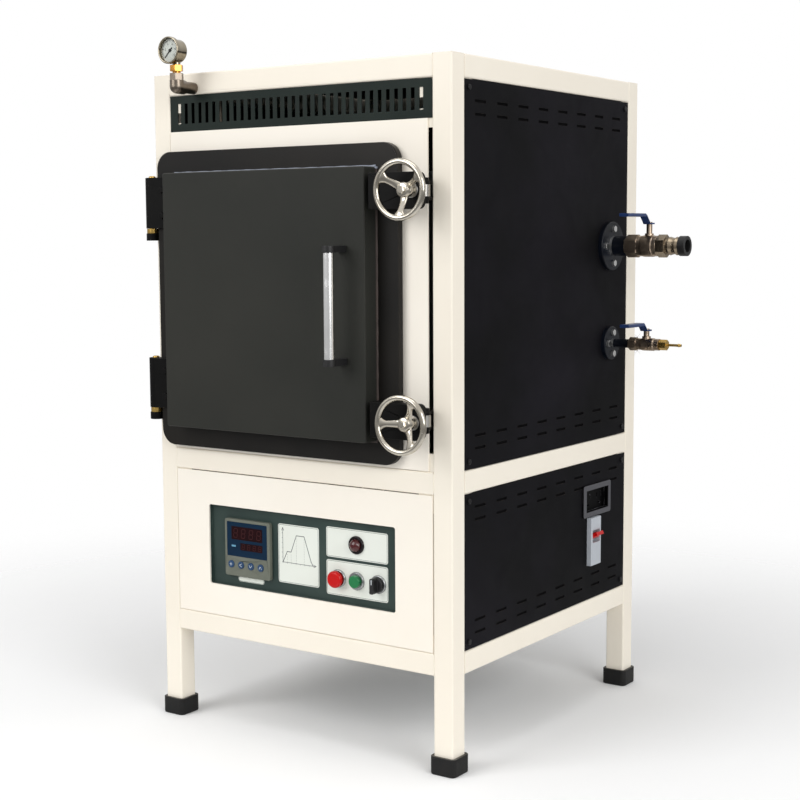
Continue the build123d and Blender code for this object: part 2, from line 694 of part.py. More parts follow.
def control_tray():
    """A pressed tray behind the window, drilled for the controls."""
    centre = (0, WINDOW_Z)
    panel_back = FRONT + PANEL_BACK
    tray_back = TRAY_FACE + TRAY_SHEET
    flange_width = WINDOW_WIDTH + 2 * TRAY_FLANGE
    flange_height = WINDOW_HEIGHT + 2 * TRAY_FLANGE
    wall_width = WINDOW_WIDTH + 2 * TRAY_SHEET
    wall_height = WINDOW_HEIGHT + 2 * TRAY_SHEET
    flange_back = panel_back + TRAY_SHEET
    tray = front_plate(centre, flange_width, flange_height, WINDOW_CORNER, flange_back, panel_back)
    tray = tray + front_plate(centre, wall_width, wall_height, WINDOW_CORNER, tray_back, panel_back)
    tray = tray - front_plate(centre, WINDOW_WIDTH, WINDOW_HEIGHT, WINDOW_CORNER, TRAY_FACE, FRONT)
    cutout = block(
        (CONTROLLER_X - CONTROLLER_CUTOUT / 2, CONTROLLER_X + CONTROLLER_CUTOUT / 2),
        (FRONT, tray_back + TRAY_SHEET),
        (CONTROLLER_AXIS_Z - CONTROLLER_CUTOUT / 2, CONTROLLER_AXIS_Z + CONTROLLER_CUTOUT / 2),
    )
    tray = tray - cutout
    for x, z in control_places():
        tray = tray - bar(BARREL_RADIUS + HOLE_PLAY, (x, FRONT, z), (x, tray_back + TRAY_SHEET, z))
    return tray


def control_places():
    """The lamp, the stop button, the start button and the selector."""
    row = [(CONTROLS_X + offset, BUTTON_Z) for offset in (STOP_OFFSET, 0.0, SELECTOR_OFFSET)]
    return [(CONTROLS_X, LAMP_Z)] + row


def bay_shelves():
    """Notched sheets that lie on the middle and bottom rails."""
    width = FRAME_WIDTH - 2 * SHELF_MARGIN
    depth = FRAME_DEPTH - 2 * SHELF_MARGIN
    notch = 2 * (TUBE - SHELF_MARGIN + PANEL_PLAY)
    outline = Rectangle(width, depth)
    for sx in (-1, 1):
        for sy in (-1, 1):
            outline = outline - Pos(sx * width / 2, sy * depth / 2) * Rectangle(notch, notch)
    shelf = extrude(outline, SHELF)
    return [Pos(0, 0, BOTTOM_BAY) * shelf, Pos(0, 0, UPPER_BAY) * shelf]


def rib_places():
    """The ribs share the length of the vessel behind its flange evenly."""
    space = (VESSEL_DEPTH - FLANGE_THICKNESS) / (RIB_COUNT + 1)
    return [FRONT + FLANGE_THICKNESS + (rib + 1) * space for rib in range(RIB_COUNT)]


def vacuum_vessel():
    """A welded box with stiffening ribs, a front flange with a seal groove, and two feet."""
    half = VESSEL_SIZE / 2
    inner = VESSEL_INNER / 2
    x, z = VESSEL_X, VESSEL_Z
    shell = block((x - half, x + half), (FRONT + FLANGE_THICKNESS, VESSEL_BACK), (z - half, z + half))
    flange = front_plate(
        (x, z), FLANGE_SIZE, FLANGE_SIZE, FLANGE_CORNER, FRONT + FLANGE_THICKNESS, FRONT
    )
    vessel = shell + flange
    cavity = block((x - inner, x + inner), (FRONT, VESSEL_BACK - VESSEL_WALL), (z - inner, z + inner))
    for y in rib_places():
        reach = half + RIB_HEIGHT
        vessel = vessel + block(
            (x - reach, x + reach), (y - RIB_WIDTH / 2, y + RIB_WIDTH / 2), (z - reach, z + reach)
        )
    for side in (-1, 1):
        foot_x = x + side * (half - VESSEL_FOOT_WIDTH)
        vessel = vessel + block(
            (foot_x - VESSEL_FOOT_WIDTH / 2, foot_x + VESSEL_FOOT_WIDTH / 2),
            (FRONT + TUBE + FLANGE_THICKNESS, VESSEL_BACK - TUBE),
            (UPPER_BAY + SHELF, z - half + VESSEL_WALL),
        )
    vessel = vessel - cavity
    groove_centre = inner + (FLANGE_SIZE / 2 - inner) / 2
    groove_depth = 2 * SEAL_RADIUS - SEAL_PROUD
    groove_outer = 2 * (groove_centre + SEAL_RADIUS)
    groove_inner = 2 * (groove_centre - SEAL_RADIUS)
    groove_back = FRONT + groove_depth
    groove = front_plate((x, z), groove_outer, groove_outer, SEAL_RADIUS * 3, groove_back, FRONT)
    groove = groove - front_plate((x, z), groove_inner, groove_inner, SEAL_RADIUS, groove_back, FRONT)
    vessel = vessel - groove
    for height, radius in ((PUMP_Z, PUMP_PIPE_RADIUS), (GAS_Z, GAS_PIPE_RADIUS)):
        vessel = vessel - bar(radius, (x + inner - 1, PORT_Y, height), (x + half + RIB_HEIGHT, PORT_Y, height))
    for tx, ty in terminal_places():
        top = z + half + RIB_HEIGHT
        vessel = vessel - bar(TERMINAL_RADIUS + HOLE_PLAY, (tx, ty, z + inner - 1), (tx, ty, top + 1))
    vessel = vessel - bar(
        PROBE_RADIUS + HOLE_PLAY, (x, VESSEL_BACK - 2 * VESSEL_WALL, z), (x, VESSEL_BACK + 1, z)
    )
    vessel = vessel - bar(
        GAUGE_LINE_RADIUS,
        (GAUGE_AXIS_X, gauge_line_y(), VESSEL_TOP - 2 * VESSEL_WALL),
        (GAUGE_AXIS_X, gauge_line_y(), VESSEL_TOP + RIB_HEIGHT + 1),
    )
    return vessel


def gauge_line_y():
    """Where the gauge's line comes down to the vessel's roof, behind the front rail."""
    return FRONT + TUBE + GAUGE_LINE_REACH


def vessel_seal():
    """A round cord of rubber lying in the flange groove."""
    inner = VESSEL_INNER / 2
    half = inner + (FLANGE_SIZE / 2 - inner) / 2
    corner = 2 * SEAL_RADIUS
    y = FRONT + SEAL_RADIUS - SEAL_PROUD
    path = (facing(VESSEL_X, VESSEL_Z, y) * RectangleRounded(2 * half, 2 * half, corner)).wire()
    section = Plane(origin=path @ 0, z_dir=path % 0) * Circle(SEAL_RADIUS)
    return sweep(section, path)


def terminal_places():
    """The two legs of each heating element; each element hangs midway between two ribs."""
    side = CHAMBER / 2 - ELEMENT_WALL_GAP - TERMINAL_RADIUS
    ribs = rib_places()
    places = []
    for sx in (-1, 1):
        for first, second in zip(ribs, ribs[1:]):
            centre = (first + second) / 2
            for leg in (-1, 1):
                places.append((VESSEL_X + sx * side, centre + leg * ELEMENT_SPAN / 2))
    return places


def fibre_lining():
    """Five ceramic fibre boards: floor, roof, two sides and a back."""
    half = VESSEL_INNER / 2 - BOARD_PLAY
    core = half - BOARD
    x, z = VESSEL_X, VESSEL_Z
    back = VESSEL_BACK - VESSEL_WALL - BOARD_PLAY
    depth = (BOARD_FRONT, CHAMBER_BACK)
    floor = block((x - half, x + half), depth, (z - half, z - core))
    roof = block((x - half, x + half), depth, (z + core, z + half))
    left = block((x - half, x - core), depth, (z - core, z + core))
    right = block((x + core, x + half), depth, (z - core, z + core))
    rear = block((x - half, x + half), (CHAMBER_BACK, back), (z - half, z + half))
    for tx, ty in terminal_places():
        roof = roof - bar(TERMINAL_RADIUS + HOLE_PLAY, (tx, ty, z + core - 1), (tx, ty, z + half + 1))
    rear = rear - bar(PROBE_RADIUS + HOLE_PLAY, (x, CHAMBER_BACK - 1, z), (x, back + 1, z))
    return [floor, roof, left, right, rear]


def hearth_plate():
    """A loose ceramic plate on the chamber floor."""
    width = CHAMBER - 2 * (ELEMENT_WALL_GAP + 2 * TERMINAL_RADIUS)
    floor = VESSEL_Z - CHAMBER / 2
    depth = (BOARD_FRONT + PLUG_DEPTH, CHAMBER_BACK - ELEMENT_WALL_GAP)
    plate = block((VESSEL_X - width / 2, VESSEL_X + width / 2), depth, (floor, floor + HEARTH))
    return chamfer(plate.edges().filter_by(Axis.Z), HEARTH_CHAMFER)


def heating_elements():
    """U-shaped rods hung from the roof, each leg held by a ceramic collar on the vessel."""
    places = terminal_places()
    roof = VESSEL_Z + CHAMBER / 2
    floor = VESSEL_Z - CHAMBER / 2 + ELEMENT_FLOOR_GAP
    top = VESSEL_TOP + TERMINAL_TOP
    bend = ELEMENT_SPAN / 2
    parts = []
    for first, second in zip(places[0::2], places[1::2]):
        x, centre = first[0], (first[1] + second[1]) / 2
        arc_plane = Plane(origin=(x, centre, floor + bend), x_dir=(0, 1, 0), z_dir=(1, 0, 0))
        arc = arc_plane * CenterArc((0, 0), bend, 180, 180)
        element = sweep(Plane(origin=arc @ 0, z_dir=arc % 0) * Circle(ELEMENT_RADIUS), arc)
        for leg_x, leg_y in (first, second):
            element = element + bar(ELEMENT_RADIUS, (leg_x, leg_y, floor + bend), (leg_x, leg_y, roof))
            element = element + bar(TERMINAL_RADIUS, (leg_x, leg_y, roof), (leg_x, leg_y, top))
            holder = bar(HOLDER_RADIUS, (leg_x, leg_y, VESSEL_TOP), (leg_x, leg_y, VESSEL_TOP + HOLDER_HEIGHT))
            bore = bar(
                TERMINAL_RADIUS + RUNNING_PLAY,
                (leg_x, leg_y, VESSEL_TOP - 1),
                (leg_x, leg_y, VESSEL_TOP + HOLDER_HEIGHT + 1),
            )
            parts.append(holder - bore)
        parts.append(element)
    return parts


def thermocouple():
    """A ceramic sheath through the back of the vessel with its terminal head outside."""
    x, z = VESSEL_X, VESSEL_Z
    sheath = bar(PROBE_RADIUS, (x, CHAMBER_BACK - PROBE_REACH, z), (x, VESSEL_BACK, z))
    head = bar(PROBE_HEAD_RADIUS, (x, VESSEL_BACK, z), (x, VESSEL_BACK + PROBE_HEAD, z))
    return sheath + head


def hinge_base(side):
    """The underside of a hinge; side is 1 for the upper and -1 for the lower hinge."""
    return VESSEL_Z + side * HINGE_SPREAD - HINGE_HEIGHT / 2


def hinge_brackets():
    """Lugs welded to the left front post, each bored for a hinge pin."""
    lugs = []
    for side in (-1, 1):
        base = hinge_base(side)
        top = base + HINGE_LUG
        lug = bar(HINGE_RADIUS, (HINGE_X, HINGE_Y, base), (HINGE_X, HINGE_Y, top))
        right = HINGE_X + HINGE_RADIUS
        lug = lug + block((LEFT + TUBE_CORNER, right), (HINGE_Y, FRONT), (base, top))
        hole = bar(
            HINGE_PIN_RADIUS + RUNNING_PLAY, (HINGE_X, HINGE_Y, base - 1), (HINGE_X, HINGE_Y, top + 1)
        )
        lugs.append(lug - hole)
    return lugs


def hinge_pins():
    """Turned pins with a thrust collar; the door's barrels drop over them."""
    pins = []
    for side in (-1, 1):
        base = hinge_base(side)
        collar = base + HINGE_LUG
        tip = base + HINGE_HEIGHT + HINGE_PIN_DOME
        pin = bar(HINGE_PIN_RADIUS, (HINGE_X, HINGE_Y, base), (HINGE_X, HINGE_Y, tip))
        pin = fillet(pin.faces().sort_by(Axis.Z)[-1].edges(), HINGE_PIN_DOME * 0.9)
        pin = pin + bar(
            HINGE_COLLAR_RADIUS, (HINGE_X, HINGE_Y, collar), (HINGE_X, HINGE_Y, collar + HINGE_COLLAR)
        )
        pins.append(pin)
    return pins


def door_hinges():
    """Barrels on the door's edge with straps bolted to the front of the door plate."""
    leaves = []
    for side in (-1, 1):
        base = hinge_base(side) + HINGE_LUG + HINGE_COLLAR + HOLE_PLAY
        top = hinge_base(side) + HINGE_HEIGHT
        barrel = bar(HINGE_RADIUS, (HINGE_X, HINGE_Y, base), (HINGE_X, HINGE_Y, top))
        strap = block(
            (HINGE_X, DOOR_LEFT + HINGE_STRAP_WIDTH), (DOOR_FRONT - HINGE_STRAP, DOOR_FRONT), (base, top)
        )
        leaf = barrel + strap
        hole = bar(HINGE_PIN_RADIUS + RUNNING_PLAY, (HINGE_X, HINGE_Y, base - 1), (HINGE_X, HINGE_Y, top + 1))
        leaf = leaf - hole
        bolt_x = DOOR_LEFT + HINGE_STRAP_WIDTH / 2
        for step in (-1, 1):
            bolt_z = (base + top) / 2 + step * HINGE_BARREL / 4
            front = DOOR_FRONT - HINGE_STRAP
            leaf = leaf + hexagon(
                FLANGE_BOLT_HEAD, (bolt_x, front, bolt_z), (bolt_x, front - FLANGE_BOLT_HEIGHT, bolt_z)
            )
        leaves.append(leaf)
    return leaves


def door_plate():
    """The flat flange plate that closes the vessel."""
    return front_plate((VESSEL_X, VESSEL_Z), DOOR_SIZE, DOOR_SIZE, DOOR_CORNER, DOOR_BACK, DOOR_FRONT)


def door_box():
    """A folded sheet cover welded on the front of the door plate."""
    centre = (VESSEL_X, VESSEL_Z)
    cover = front_plate(centre, BOX_WIDTH, BOX_HEIGHT, DOOR_BOX_CORNER, DOOR_FRONT, BOX_FRONT)
    cover = fillet(cover.faces().sort_by(Axis.Y)[0].edges(), DOOR_BOX_SHEET * 0.7)
    inside = front_plate(
        centre,
        BOX_WIDTH - 2 * DOOR_BOX_SHEET,
        BOX_HEIGHT - 2 * DOOR_BOX_SHEET,
        DOOR_BOX_CORNER / 2,
        DOOR_FRONT,
        BOX_FRONT + DOOR_BOX_SHEET,
    )
    return cover - inside


def door_plug():
    """A tapered block of fibre that fills the mouth of the chamber."""
    width = CHAMBER - 2 * PLUG_CLEARANCE
    plane = Plane(origin=(VESSEL_X, DOOR_BACK, VESSEL_Z), x_dir=(1, 0, 0), z_dir=(0, 1, 0))
    return extrude(plane * Rectangle(width, width), PLUG_DEPTH, taper=PLUG_TAPER)


def handle_axis():
    x = VESSEL_X + BOX_WIDTH / 2 - HANDLE_FROM_EDGE
    return x, BOX_FRONT - HANDLE_STAND_OFF


def handle_bar():
    x, y = handle_axis()
    half = HANDLE_LENGTH / 2
    return bar(HANDLE_RADIUS, (x, y, VESSEL_Z - half), (x, y, VESSEL_Z + half))


def handle_mounts():
    """Moulded end caps with an arm back to the door."""
    x, y = handle_axis()
    mounts = []
    for side in (-1, 1):
        inner = VESSEL_Z + side * HANDLE_LENGTH / 2
        outer = inner + side * HANDLE_CAP
        low, high = sorted((inner, outer))
        cap = bar(HANDLE_CAP_RADIUS, (x, y, low), (x, y, high))
        arm = block((x - HANDLE_ARM_WIDTH / 2, x + HANDLE_ARM_WIDTH / 2), (y, BOX_FRONT), (low, high))
        mounts.append(cap + arm)
    return mounts


def clamp_brackets():
    """Pairs of ears welded to the right front post that carry a swivelling nut."""
    brackets = []
    for height in CLAMP_HEIGHTS.values():
        right = RIGHT - TUBE
        root = FRONT + TUBE - TUBE_CORNER
        web = block(
            (right - EAR_NECK, right), (FRONT + PANEL_INSET, root), (height - EAR_INNER, height + EAR_INNER)
        )
        bracket = web
        for side in (-1, 1):
            inner = height + side * EAR_INNER
            outer = inner + side * EAR_THICKNESS
            boss = outer + side * BOSS_HEIGHT
            low, high = sorted((inner, outer))
            ear = bar(EAR_RADIUS, (CLAMP_X, NUT_Y, low), (CLAMP_X, NUT_Y, high))
            ear = ear + block((right - EAR_NECK, right), (NUT_Y, root), (low, high))
            ear = ear + bar(EAR_RADIUS * 0.85, (CLAMP_X, NUT_Y, outer), (CLAMP_X, NUT_Y, boss))
            ear = ear - bar(TRUNNION_RADIUS + RUNNING_PLAY, (CLAMP_X, NUT_Y, inner), (CLAMP_X, NUT_Y, boss))
            bracket = bracket + ear
        brackets.append(bracket)
    return brackets


def clamp_nuts():
    """Round nuts on trunnions, bored across for the clamp spindle."""
    nuts = []
    for height in CLAMP_HEIGHTS.values():
        half = NUT_HEIGHT / 2
        reach = half + TRUNNION_LENGTH
        nut = bar(NUT_RADIUS, (CLAMP_X, NUT_Y, height - half), (CLAMP_X, NUT_Y, height + half))
        nut = nut + bar(TRUNNION_RADIUS, (CLAMP_X, NUT_Y, height - reach), (CLAMP_X, NUT_Y, height + reach))
        back = NUT_Y + NUT_RADIUS + 1
        front = NUT_Y - NUT_RADIUS - 1
        nut = nut - bar(SPINDLE_RADIUS + NUT_BORE_PLAY, (CLAMP_X, back, height), (CLAMP_X, front, height))
        nuts.append(nut)
    return nuts


def clamp_lugs():
    """Stepped blocks welded to the door plate, reaching over the ears to the spindles."""
    lugs = []
    for height in CLAMP_HEIGHTS.values():
        z = (height - LUG_HEIGHT / 2, height + LUG_HEIGHT / 2)
        foot = block((DOOR_RIGHT - LUG_FOOT, DOOR_RIGHT), (LUG_FRONT, DOOR_FRONT), z)
        arm = block((DOOR_RIGHT - LUG_FOOT, CLAMP_X + LUG_OVERHANG), (LUG_FRONT, LUG_BACK), z)
        lug = foot + arm
        edges = lug.edges().filter_by(Axis.Y).group_by(Axis.X)[-1]
        lug = fillet(edges, LUG_OVERHANG * 0.8)
        hole = bar(SPINDLE_RADIUS + HOLE_PLAY, (CLAMP_X, LUG_BACK + 1, height), (CLAMP_X, LUG_FRONT - 1, height))
        lugs.append(lug - hole)
    return lugs


def clamp_collar(height):
    """The thrust washer between the hub of a hand wheel and its lug."""
    washer = bar(WASHER_RADIUS, (CLAMP_X, LUG_FRONT, height), (CLAMP_X, LUG_FRONT - WASHER, height))
    hole = bar(
        SPINDLE_RADIUS + RUNNING_PLAY, (CLAMP_X, LUG_FRONT + 1, height), (CLAMP_X, LUG_FRONT - WASHER - 1, height)
    )
    return washer - hole


def clamp_wheel(height, first_spoke):
    """A dished three-spoke hand wheel on its spindle."""
    hub = bar(HUB_RADIUS, (CLAMP_X, HUB_BACK, height), (CLAMP_X, HUB_FRONT, height))
    hub = fillet(hub.faces().sort_by(Axis.Y)[0].edges(), 2.5)
    spindle = bar(SPINDLE_RADIUS, (CLAMP_X, NUT_Y + NUT_RADIUS - 1, height), (CLAMP_X, HUB_BACK, height))
    rim_circle = WHEEL_RADIUS - RIM_RADIUS
    rim_plane = facing(CLAMP_X, height, RIM_Y)
    rim = rim_plane * Torus(rim_circle, RIM_RADIUS)
    wheel = hub + spindle + rim
    spoke_y = HUB_FRONT + 2 * SPOKE_RADIUS
    for spoke in range(SPOKES):
        angle = radians(first_spoke + 360 * spoke / SPOKES)
        start = (
            CLAMP_X + (HUB_RADIUS - SPOKE_RADIUS) * cos(angle),
            spoke_y,
            height + (HUB_RADIUS - SPOKE_RADIUS) * sin(angle),
        )
        end = (CLAMP_X + rim_circle * cos(angle), RIM_Y, height + rim_circle * sin(angle))
        wheel = wheel + bar(SPOKE_RADIUS, start, end)
    return wheel


def controller_case():
    """A panel-mounting controller with a sunken screen and holes for its four keys."""
    x, z = CONTROLLER_X, CONTROLLER_AXIS_Z
    face = front_plate((x, z), CONTROLLER, CONTROLLER, 4, TRAY_FACE, FRONT)
    face = chamfer(face.faces().sort_by(Axis.Y)[0].edges(), 1.5)
    half = CONTROLLER_BODY / 2
    body = block((x - half, x + half), (TRAY_FACE, TRAY_FACE + CONTROLLER_BODY_DEPTH), (z - half, z + half))
    case = face + body
    screen = front_plate(
        (x, z + SCREEN_RISE), SCREEN_WIDTH, SCREEN_HEIGHT, 2, FRONT + SCREEN_RECESS, FRONT - 1
    )
    case = case - screen
    for key_x in key_places():
        case = case - bar(
            KEY_RADIUS + RUNNING_PLAY,
            (key_x, FRONT + KEY_STEM + KEY_TRAVEL + TRAVEL_MARGIN, KEY_Z),
            (key_x, FRONT - 1, KEY_Z),
        )
    return case


def key_places():
    first = CONTROLLER_X - 2 - KEY_PITCH * (KEY_COUNT - 1) / 2
    return [first + KEY_PITCH * key for key in range(KEY_COUNT)]


def controller_key(x):
    """A round key that travels in its hole."""
    key = bar(KEY_RADIUS, (x, FRONT + KEY_STEM, KEY_Z), (x, FRONT - KEY_PROUD, KEY_Z))
    return fillet(key.faces().sort_by(Axis.Y)[0].edges(), 0.8)


def operator_bezels():
    """Four like bezels with the barrels that hold them through the tray."""
    bezels = []
    for x, z in control_places():
        bezel = bar(BEZEL_RADIUS, (x, TRAY_FACE, z), (x, BEZEL_FRONT, z))
        bezel = chamfer(bezel.faces().sort_by(Axis.Y)[0].edges(), 1.2)
        bezel = bezel + bar(BARREL_RADIUS, (x, TRAY_FACE + BARREL_LENGTH, z), (x, TRAY_FACE, z))
        bezel = bezel - bar(BORE_RADIUS, (x, TRAY_FACE + BARREL_LENGTH - 2, z), (x, BEZEL_FRONT - 1, z))
        bezels.append(bezel)
    return bezels


def stem(place, front):
    """The sliding stem that fits the bore of a bezel."""
    x, z = place
    return bar(BORE_RADIUS - RUNNING_PLAY, (x, BEZEL_FRONT + STEM_LENGTH, z), (x, front, z))


def lamp_lens():
    """A domed lens."""
    lens = stem(control_places()[0], BEZEL_FRONT - LENS_HEIGHT)
    return fillet(lens.faces().sort_by(Axis.Y)[0].edges(), LENS_HEIGHT * 0.7)


def stop_button():
    """A low mushroom button."""
    x, z = control_places()[1]
    under = BEZEL_FRONT - STOP_TRAVEL - TRAVEL_MARGIN
    head = bar(STOP_RADIUS, (x, under, z), (x, under - STOP_HEAD, z))
    head = fillet(head.faces().sort_by(Axis.Y)[0].edges(), STOP_HEAD * 0.6)
    return head + stem((x, z), under)


def start_button():
    """A button that stands a little proud of its bezel."""
    button = stem(control_places()[2], BEZEL_FRONT - START_PROUD)
    return fillet(button.faces().sort_by(Axis.Y)[0].edges(), 1.2)


def selector_knob():
    """A two-position knob with a straight grip."""
    x, z = control_places()[3]
    under = BEZEL_FRONT - TRAVEL_MARGIN
    base = bar(KNOB_RADIUS, (x, under, z), (x, under - KNOB_BASE, z))
    base = chamfer(base.faces().sort_by(Axis.Y)[0].edges(), 1.2)
    grip = front_plate(
        (x, z), KNOB_GRIP_WIDTH, 2 * KNOB_RADIUS, 3, under - KNOB_BASE, under - KNOB_BASE - KNOB_GRIP_HEIGHT
    )
    return base + grip + stem((x, z), under)


def breaker_body():
    """A two-pole breaker with a slot for its linked toggles."""
    half_width = BREAKER_WIDTH / 2
    half_height = BREAKER_HEIGHT / 2
    y = (BREAKER_Y - half_width, BREAKER_Y + half_width)
    body = block((BREAKER_BACK, BREAKER_FRONT), y, (BREAKER_Z - half_height, BREAKER_Z + half_height))
    body = chamfer(body.faces().sort_by(Axis.X)[-1].edges(), 1.0)
    slot_half = TOGGLE_SLOT_WIDTH / 2
    slot = block(
        (BREAKER_FRONT - TOGGLE_SLOT_DEPTH, BREAKER_FRONT + 1),
        (BREAKER_Y - slot_half, BREAKER_Y + slot_half),
        (TOGGLE_Z - TOGGLE_SLOT_HEIGHT / 2, TOGGLE_Z + TOGGLE_SLOT_HEIGHT / 2),
    )
    reach = slot_half + TOGGLE_PIN
    pivot = bar(
        TOGGLE_PIN_RADIUS + RUNNING_PLAY,
        (TOGGLE_X, BREAKER_Y - reach, TOGGLE_Z),
        (TOGGLE_X, BREAKER_Y + reach, TOGGLE_Z),
    )
    return body - slot - pivot


def breaker_toggle():
    """Two toggles on one hub, joined by a bar across their tips."""
    hub_half = TOGGLE_SLOT_WIDTH / 2 - HOLE_PLAY
    pin_half = TOGGLE_SLOT_WIDTH / 2 + TOGGLE_PIN - HOLE_PLAY
    y = BREAKER_Y
    toggle = bar(TOGGLE_HUB_RADIUS, (TOGGLE_X, y - hub_half, TOGGLE_Z), (TOGGLE_X, y + hub_half, TOGGLE_Z))
    toggle = toggle + bar(
        TOGGLE_PIN_RADIUS, (TOGGLE_X, y - pin_half, TOGGLE_Z), (TOGGLE_X, y + pin_half, TOGGLE_Z)
    )
    spread = BREAKER_WIDTH / 4
    lever_half = TOGGLE_WIDTH / 2
    for side in (-1, 1):
        centre = y + side * spread
        lever = block(
            (TOGGLE_X, TOGGLE_X + TOGGLE_REACH),
            (centre - lever_half, centre + lever_half),
            (TOGGLE_Z - lever_half, TOGGLE_Z + lever_half),
        )
        toggle = toggle + tilted(lever)
    link = block(
        (TOGGLE_X + TOGGLE_REACH - TOGGLE_WIDTH, TOGGLE_X + TOGGLE_REACH),
        (y - spread, y + spread),
        (TOGGLE_Z - lever_half, TOGGLE_Z + lever_half),
    )
    return toggle + tilted(link)


def tilted(shape):
    """Turn a piece of the toggle up to its closed position about the hub."""
    return shape.rotate(Axis((TOGGLE_X, BREAKER_Y, TOGGLE_Z), (0, 1, 0)), -TOGGLE_TILT)


def din_rail():
    """A top-hat rail on two posts from the back of the side panel."""
    half = RAIL_HEIGHT / 2
    crown = half - 5.0
    front = BREAKER_BACK
    back = front - RAIL_DEPTH
    y = (BREAKER_Y - RAIL_LENGTH / 2, BREAKER_Y + RAIL_LENGTH / 2)
    z = BREAKER_Z
    rail = block((front - RAIL_SHEET, front), y, (z - half, z + half))
    rail = rail + block((back, front), y, (z - crown, z + crown))
    rail = rail - block((back + RAIL_SHEET, front + 1), y, (z - crown + RAIL_SHEET, z + crown - RAIL_SHEET))
    panel_back = RIGHT - PANEL_BACK
    solids = [rail]
    for side in (-1, 1):
        post_y = BREAKER_Y + side * (RAIL_LENGTH / 2 - RAIL_POST_RADIUS)
        solids.append(bar(RAIL_POST_RADIUS, (back + RAIL_SHEET, post_y, z), (panel_back, post_y, z)))
    return solids


def socket_outlet():
    """A moulded outlet for the pump with a raised rim and two sunken socket faces."""
    y, z = SOCKET_Y, SOCKET_Z
    half_width = SOCKET_WIDTH / 2
    half_height = SOCKET_HEIGHT / 2
    rim_plane = Plane(origin=(SIDE_FACE, y, z), x_dir=(0, 1, 0), z_dir=(1, 0, 0))
    rim = extrude(rim_plane * RectangleRounded(SOCKET_WIDTH, SOCKET_HEIGHT, 4), SOCKET_RIM_PROUD)
    rim = fillet(rim.faces().sort_by(Axis.X)[-1].edges(), 1.5)
    body = block(
        (SIDE_FACE - SOCKET_BODY_DEPTH, SIDE_FACE),
        (y - half_width + SOCKET_BODY_INSET, y + half_width - SOCKET_BODY_INSET),
        (z - half_height + SOCKET_BODY_INSET, z + half_height - SOCKET_BODY_INSET),
    )
    outlet = rim + body
    floor = SIDE_FACE + SOCKET_RIM_PROUD - SOCKET_RECESS
    inset = SOCKET_BODY_INSET + SOCKET_RIM
    recess = block(
        (floor, RIGHT + SOCKET_RECESS),
        (y - half_width + inset, y + half_width - inset),
        (z - half_height + inset, z + half_height - inset),
    )
    outlet = outlet - recess
    for side in (-1, 1):
        centre = y + side * half_width * 0.42
        for across, up, width, height in ((-8, 5, 2.4, 8), (8, 5, 2.4, 8), (0, -9, 8, 2.6)):
            hole = block(
                (floor - SOCKET_SLOT_DEPTH, floor + 1),
                (centre + across - width / 2, centre + across + width / 2),
                (z + up - height / 2, z + up + height / 2),
            )
            outlet = outlet - hole
    return outlet


def power_unit():
    """A power controller on a finned heat sink, standing on the floor of the lower bay."""
    floor = BOTTOM_BAY + SHELF
    x = (UNIT_X - UNIT_WIDTH / 2, UNIT_X + UNIT_WIDTH / 2)
    y = (-UNIT_DEPTH / 2, UNIT_DEPTH / 2)
    fin_top = floor + UNIT_FIN_HEIGHT
    unit = block(x, y, (fin_top, fin_top + UNIT_BASE))
    pitch = (UNIT_WIDTH - UNIT_FIN) / (UNIT_FINS - 1)
    for fin in range(UNIT_FINS):
        left = x[0] + fin * pitch
        unit = unit + block((left, left + UNIT_FIN), y, (floor, fin_top))
    body = block(
        (x[0] + UNIT_BASE, x[1] - UNIT_BASE),
        (y[0] + UNIT_BASE, y[1] - UNIT_BASE),
        (fin_top + UNIT_BASE, fin_top + UNIT_BASE + UNIT_BODY_HEIGHT),
    )
    body = chamfer(body.edges().filter_by(Axis.Z), 4)
    return unit + body


def port_stub(height, flange_radius, pipe_radius, wall, reach):
    """A pipe from the vessel's side wall through a bolted flange on the panel."""
    inside = VESSEL_X + VESSEL_SIZE / 2 - VESSEL_WALL
    tip = SIDE_FACE + reach
    stub = bar(pipe_radius, (inside, PORT_Y, height), (tip, PORT_Y, height))
    flange = bar(flange_radius, (SIDE_FACE, PORT_Y, height), (SIDE_FACE + PORT_FLANGE, PORT_Y, height))
    flange = chamfer(flange.faces().sort_by(Axis.X)[-1].edges(), 1.0)
    stub = stub + flange
    circle = (flange_radius + pipe_radius) / 2
    for step in range(4):
        angle = radians(90 * step)
        y = PORT_Y + circle * cos(angle)
        z = height + circle * sin(angle)
        face = SIDE_FACE + PORT_FLANGE
        stub = stub + hexagon(FLANGE_BOLT_HEAD, (face, y, z), (face + FLANGE_BOLT_HEIGHT, y, z))
    return stub - bar(pipe_radius - wall, (inside - 1, PORT_Y, height), (tip + 1, PORT_Y, height))


def port_stubs():
    pump = port_stub(PUMP_Z, PUMP_FLANGE_RADIUS, PUMP_PIPE_RADIUS, PUMP_PIPE_WALL, PUMP_PIPE_REACH)
    gas = port_stub(GAS_Z, GAS_FLANGE_RADIUS, GAS_PIPE_RADIUS, GAS_PIPE_WALL, GAS_PIPE_REACH)
    return [pump, gas]


def turned(points, height):
    """A body of revolution about a port's axis, from pairs of distance along X and radius."""
    plane = Plane(origin=(0, PORT_Y, height), x_dir=(1, 0, 0), z_dir=(0, -1, 0))
    outline = [(points[0][0], 0)] + points + [(points[-1][0], 0)]
    axis = Axis((0, PORT_Y, height), (1, 0, 0))
    return revolve(plane * make_face(Polyline(outline, close=True)), axis)


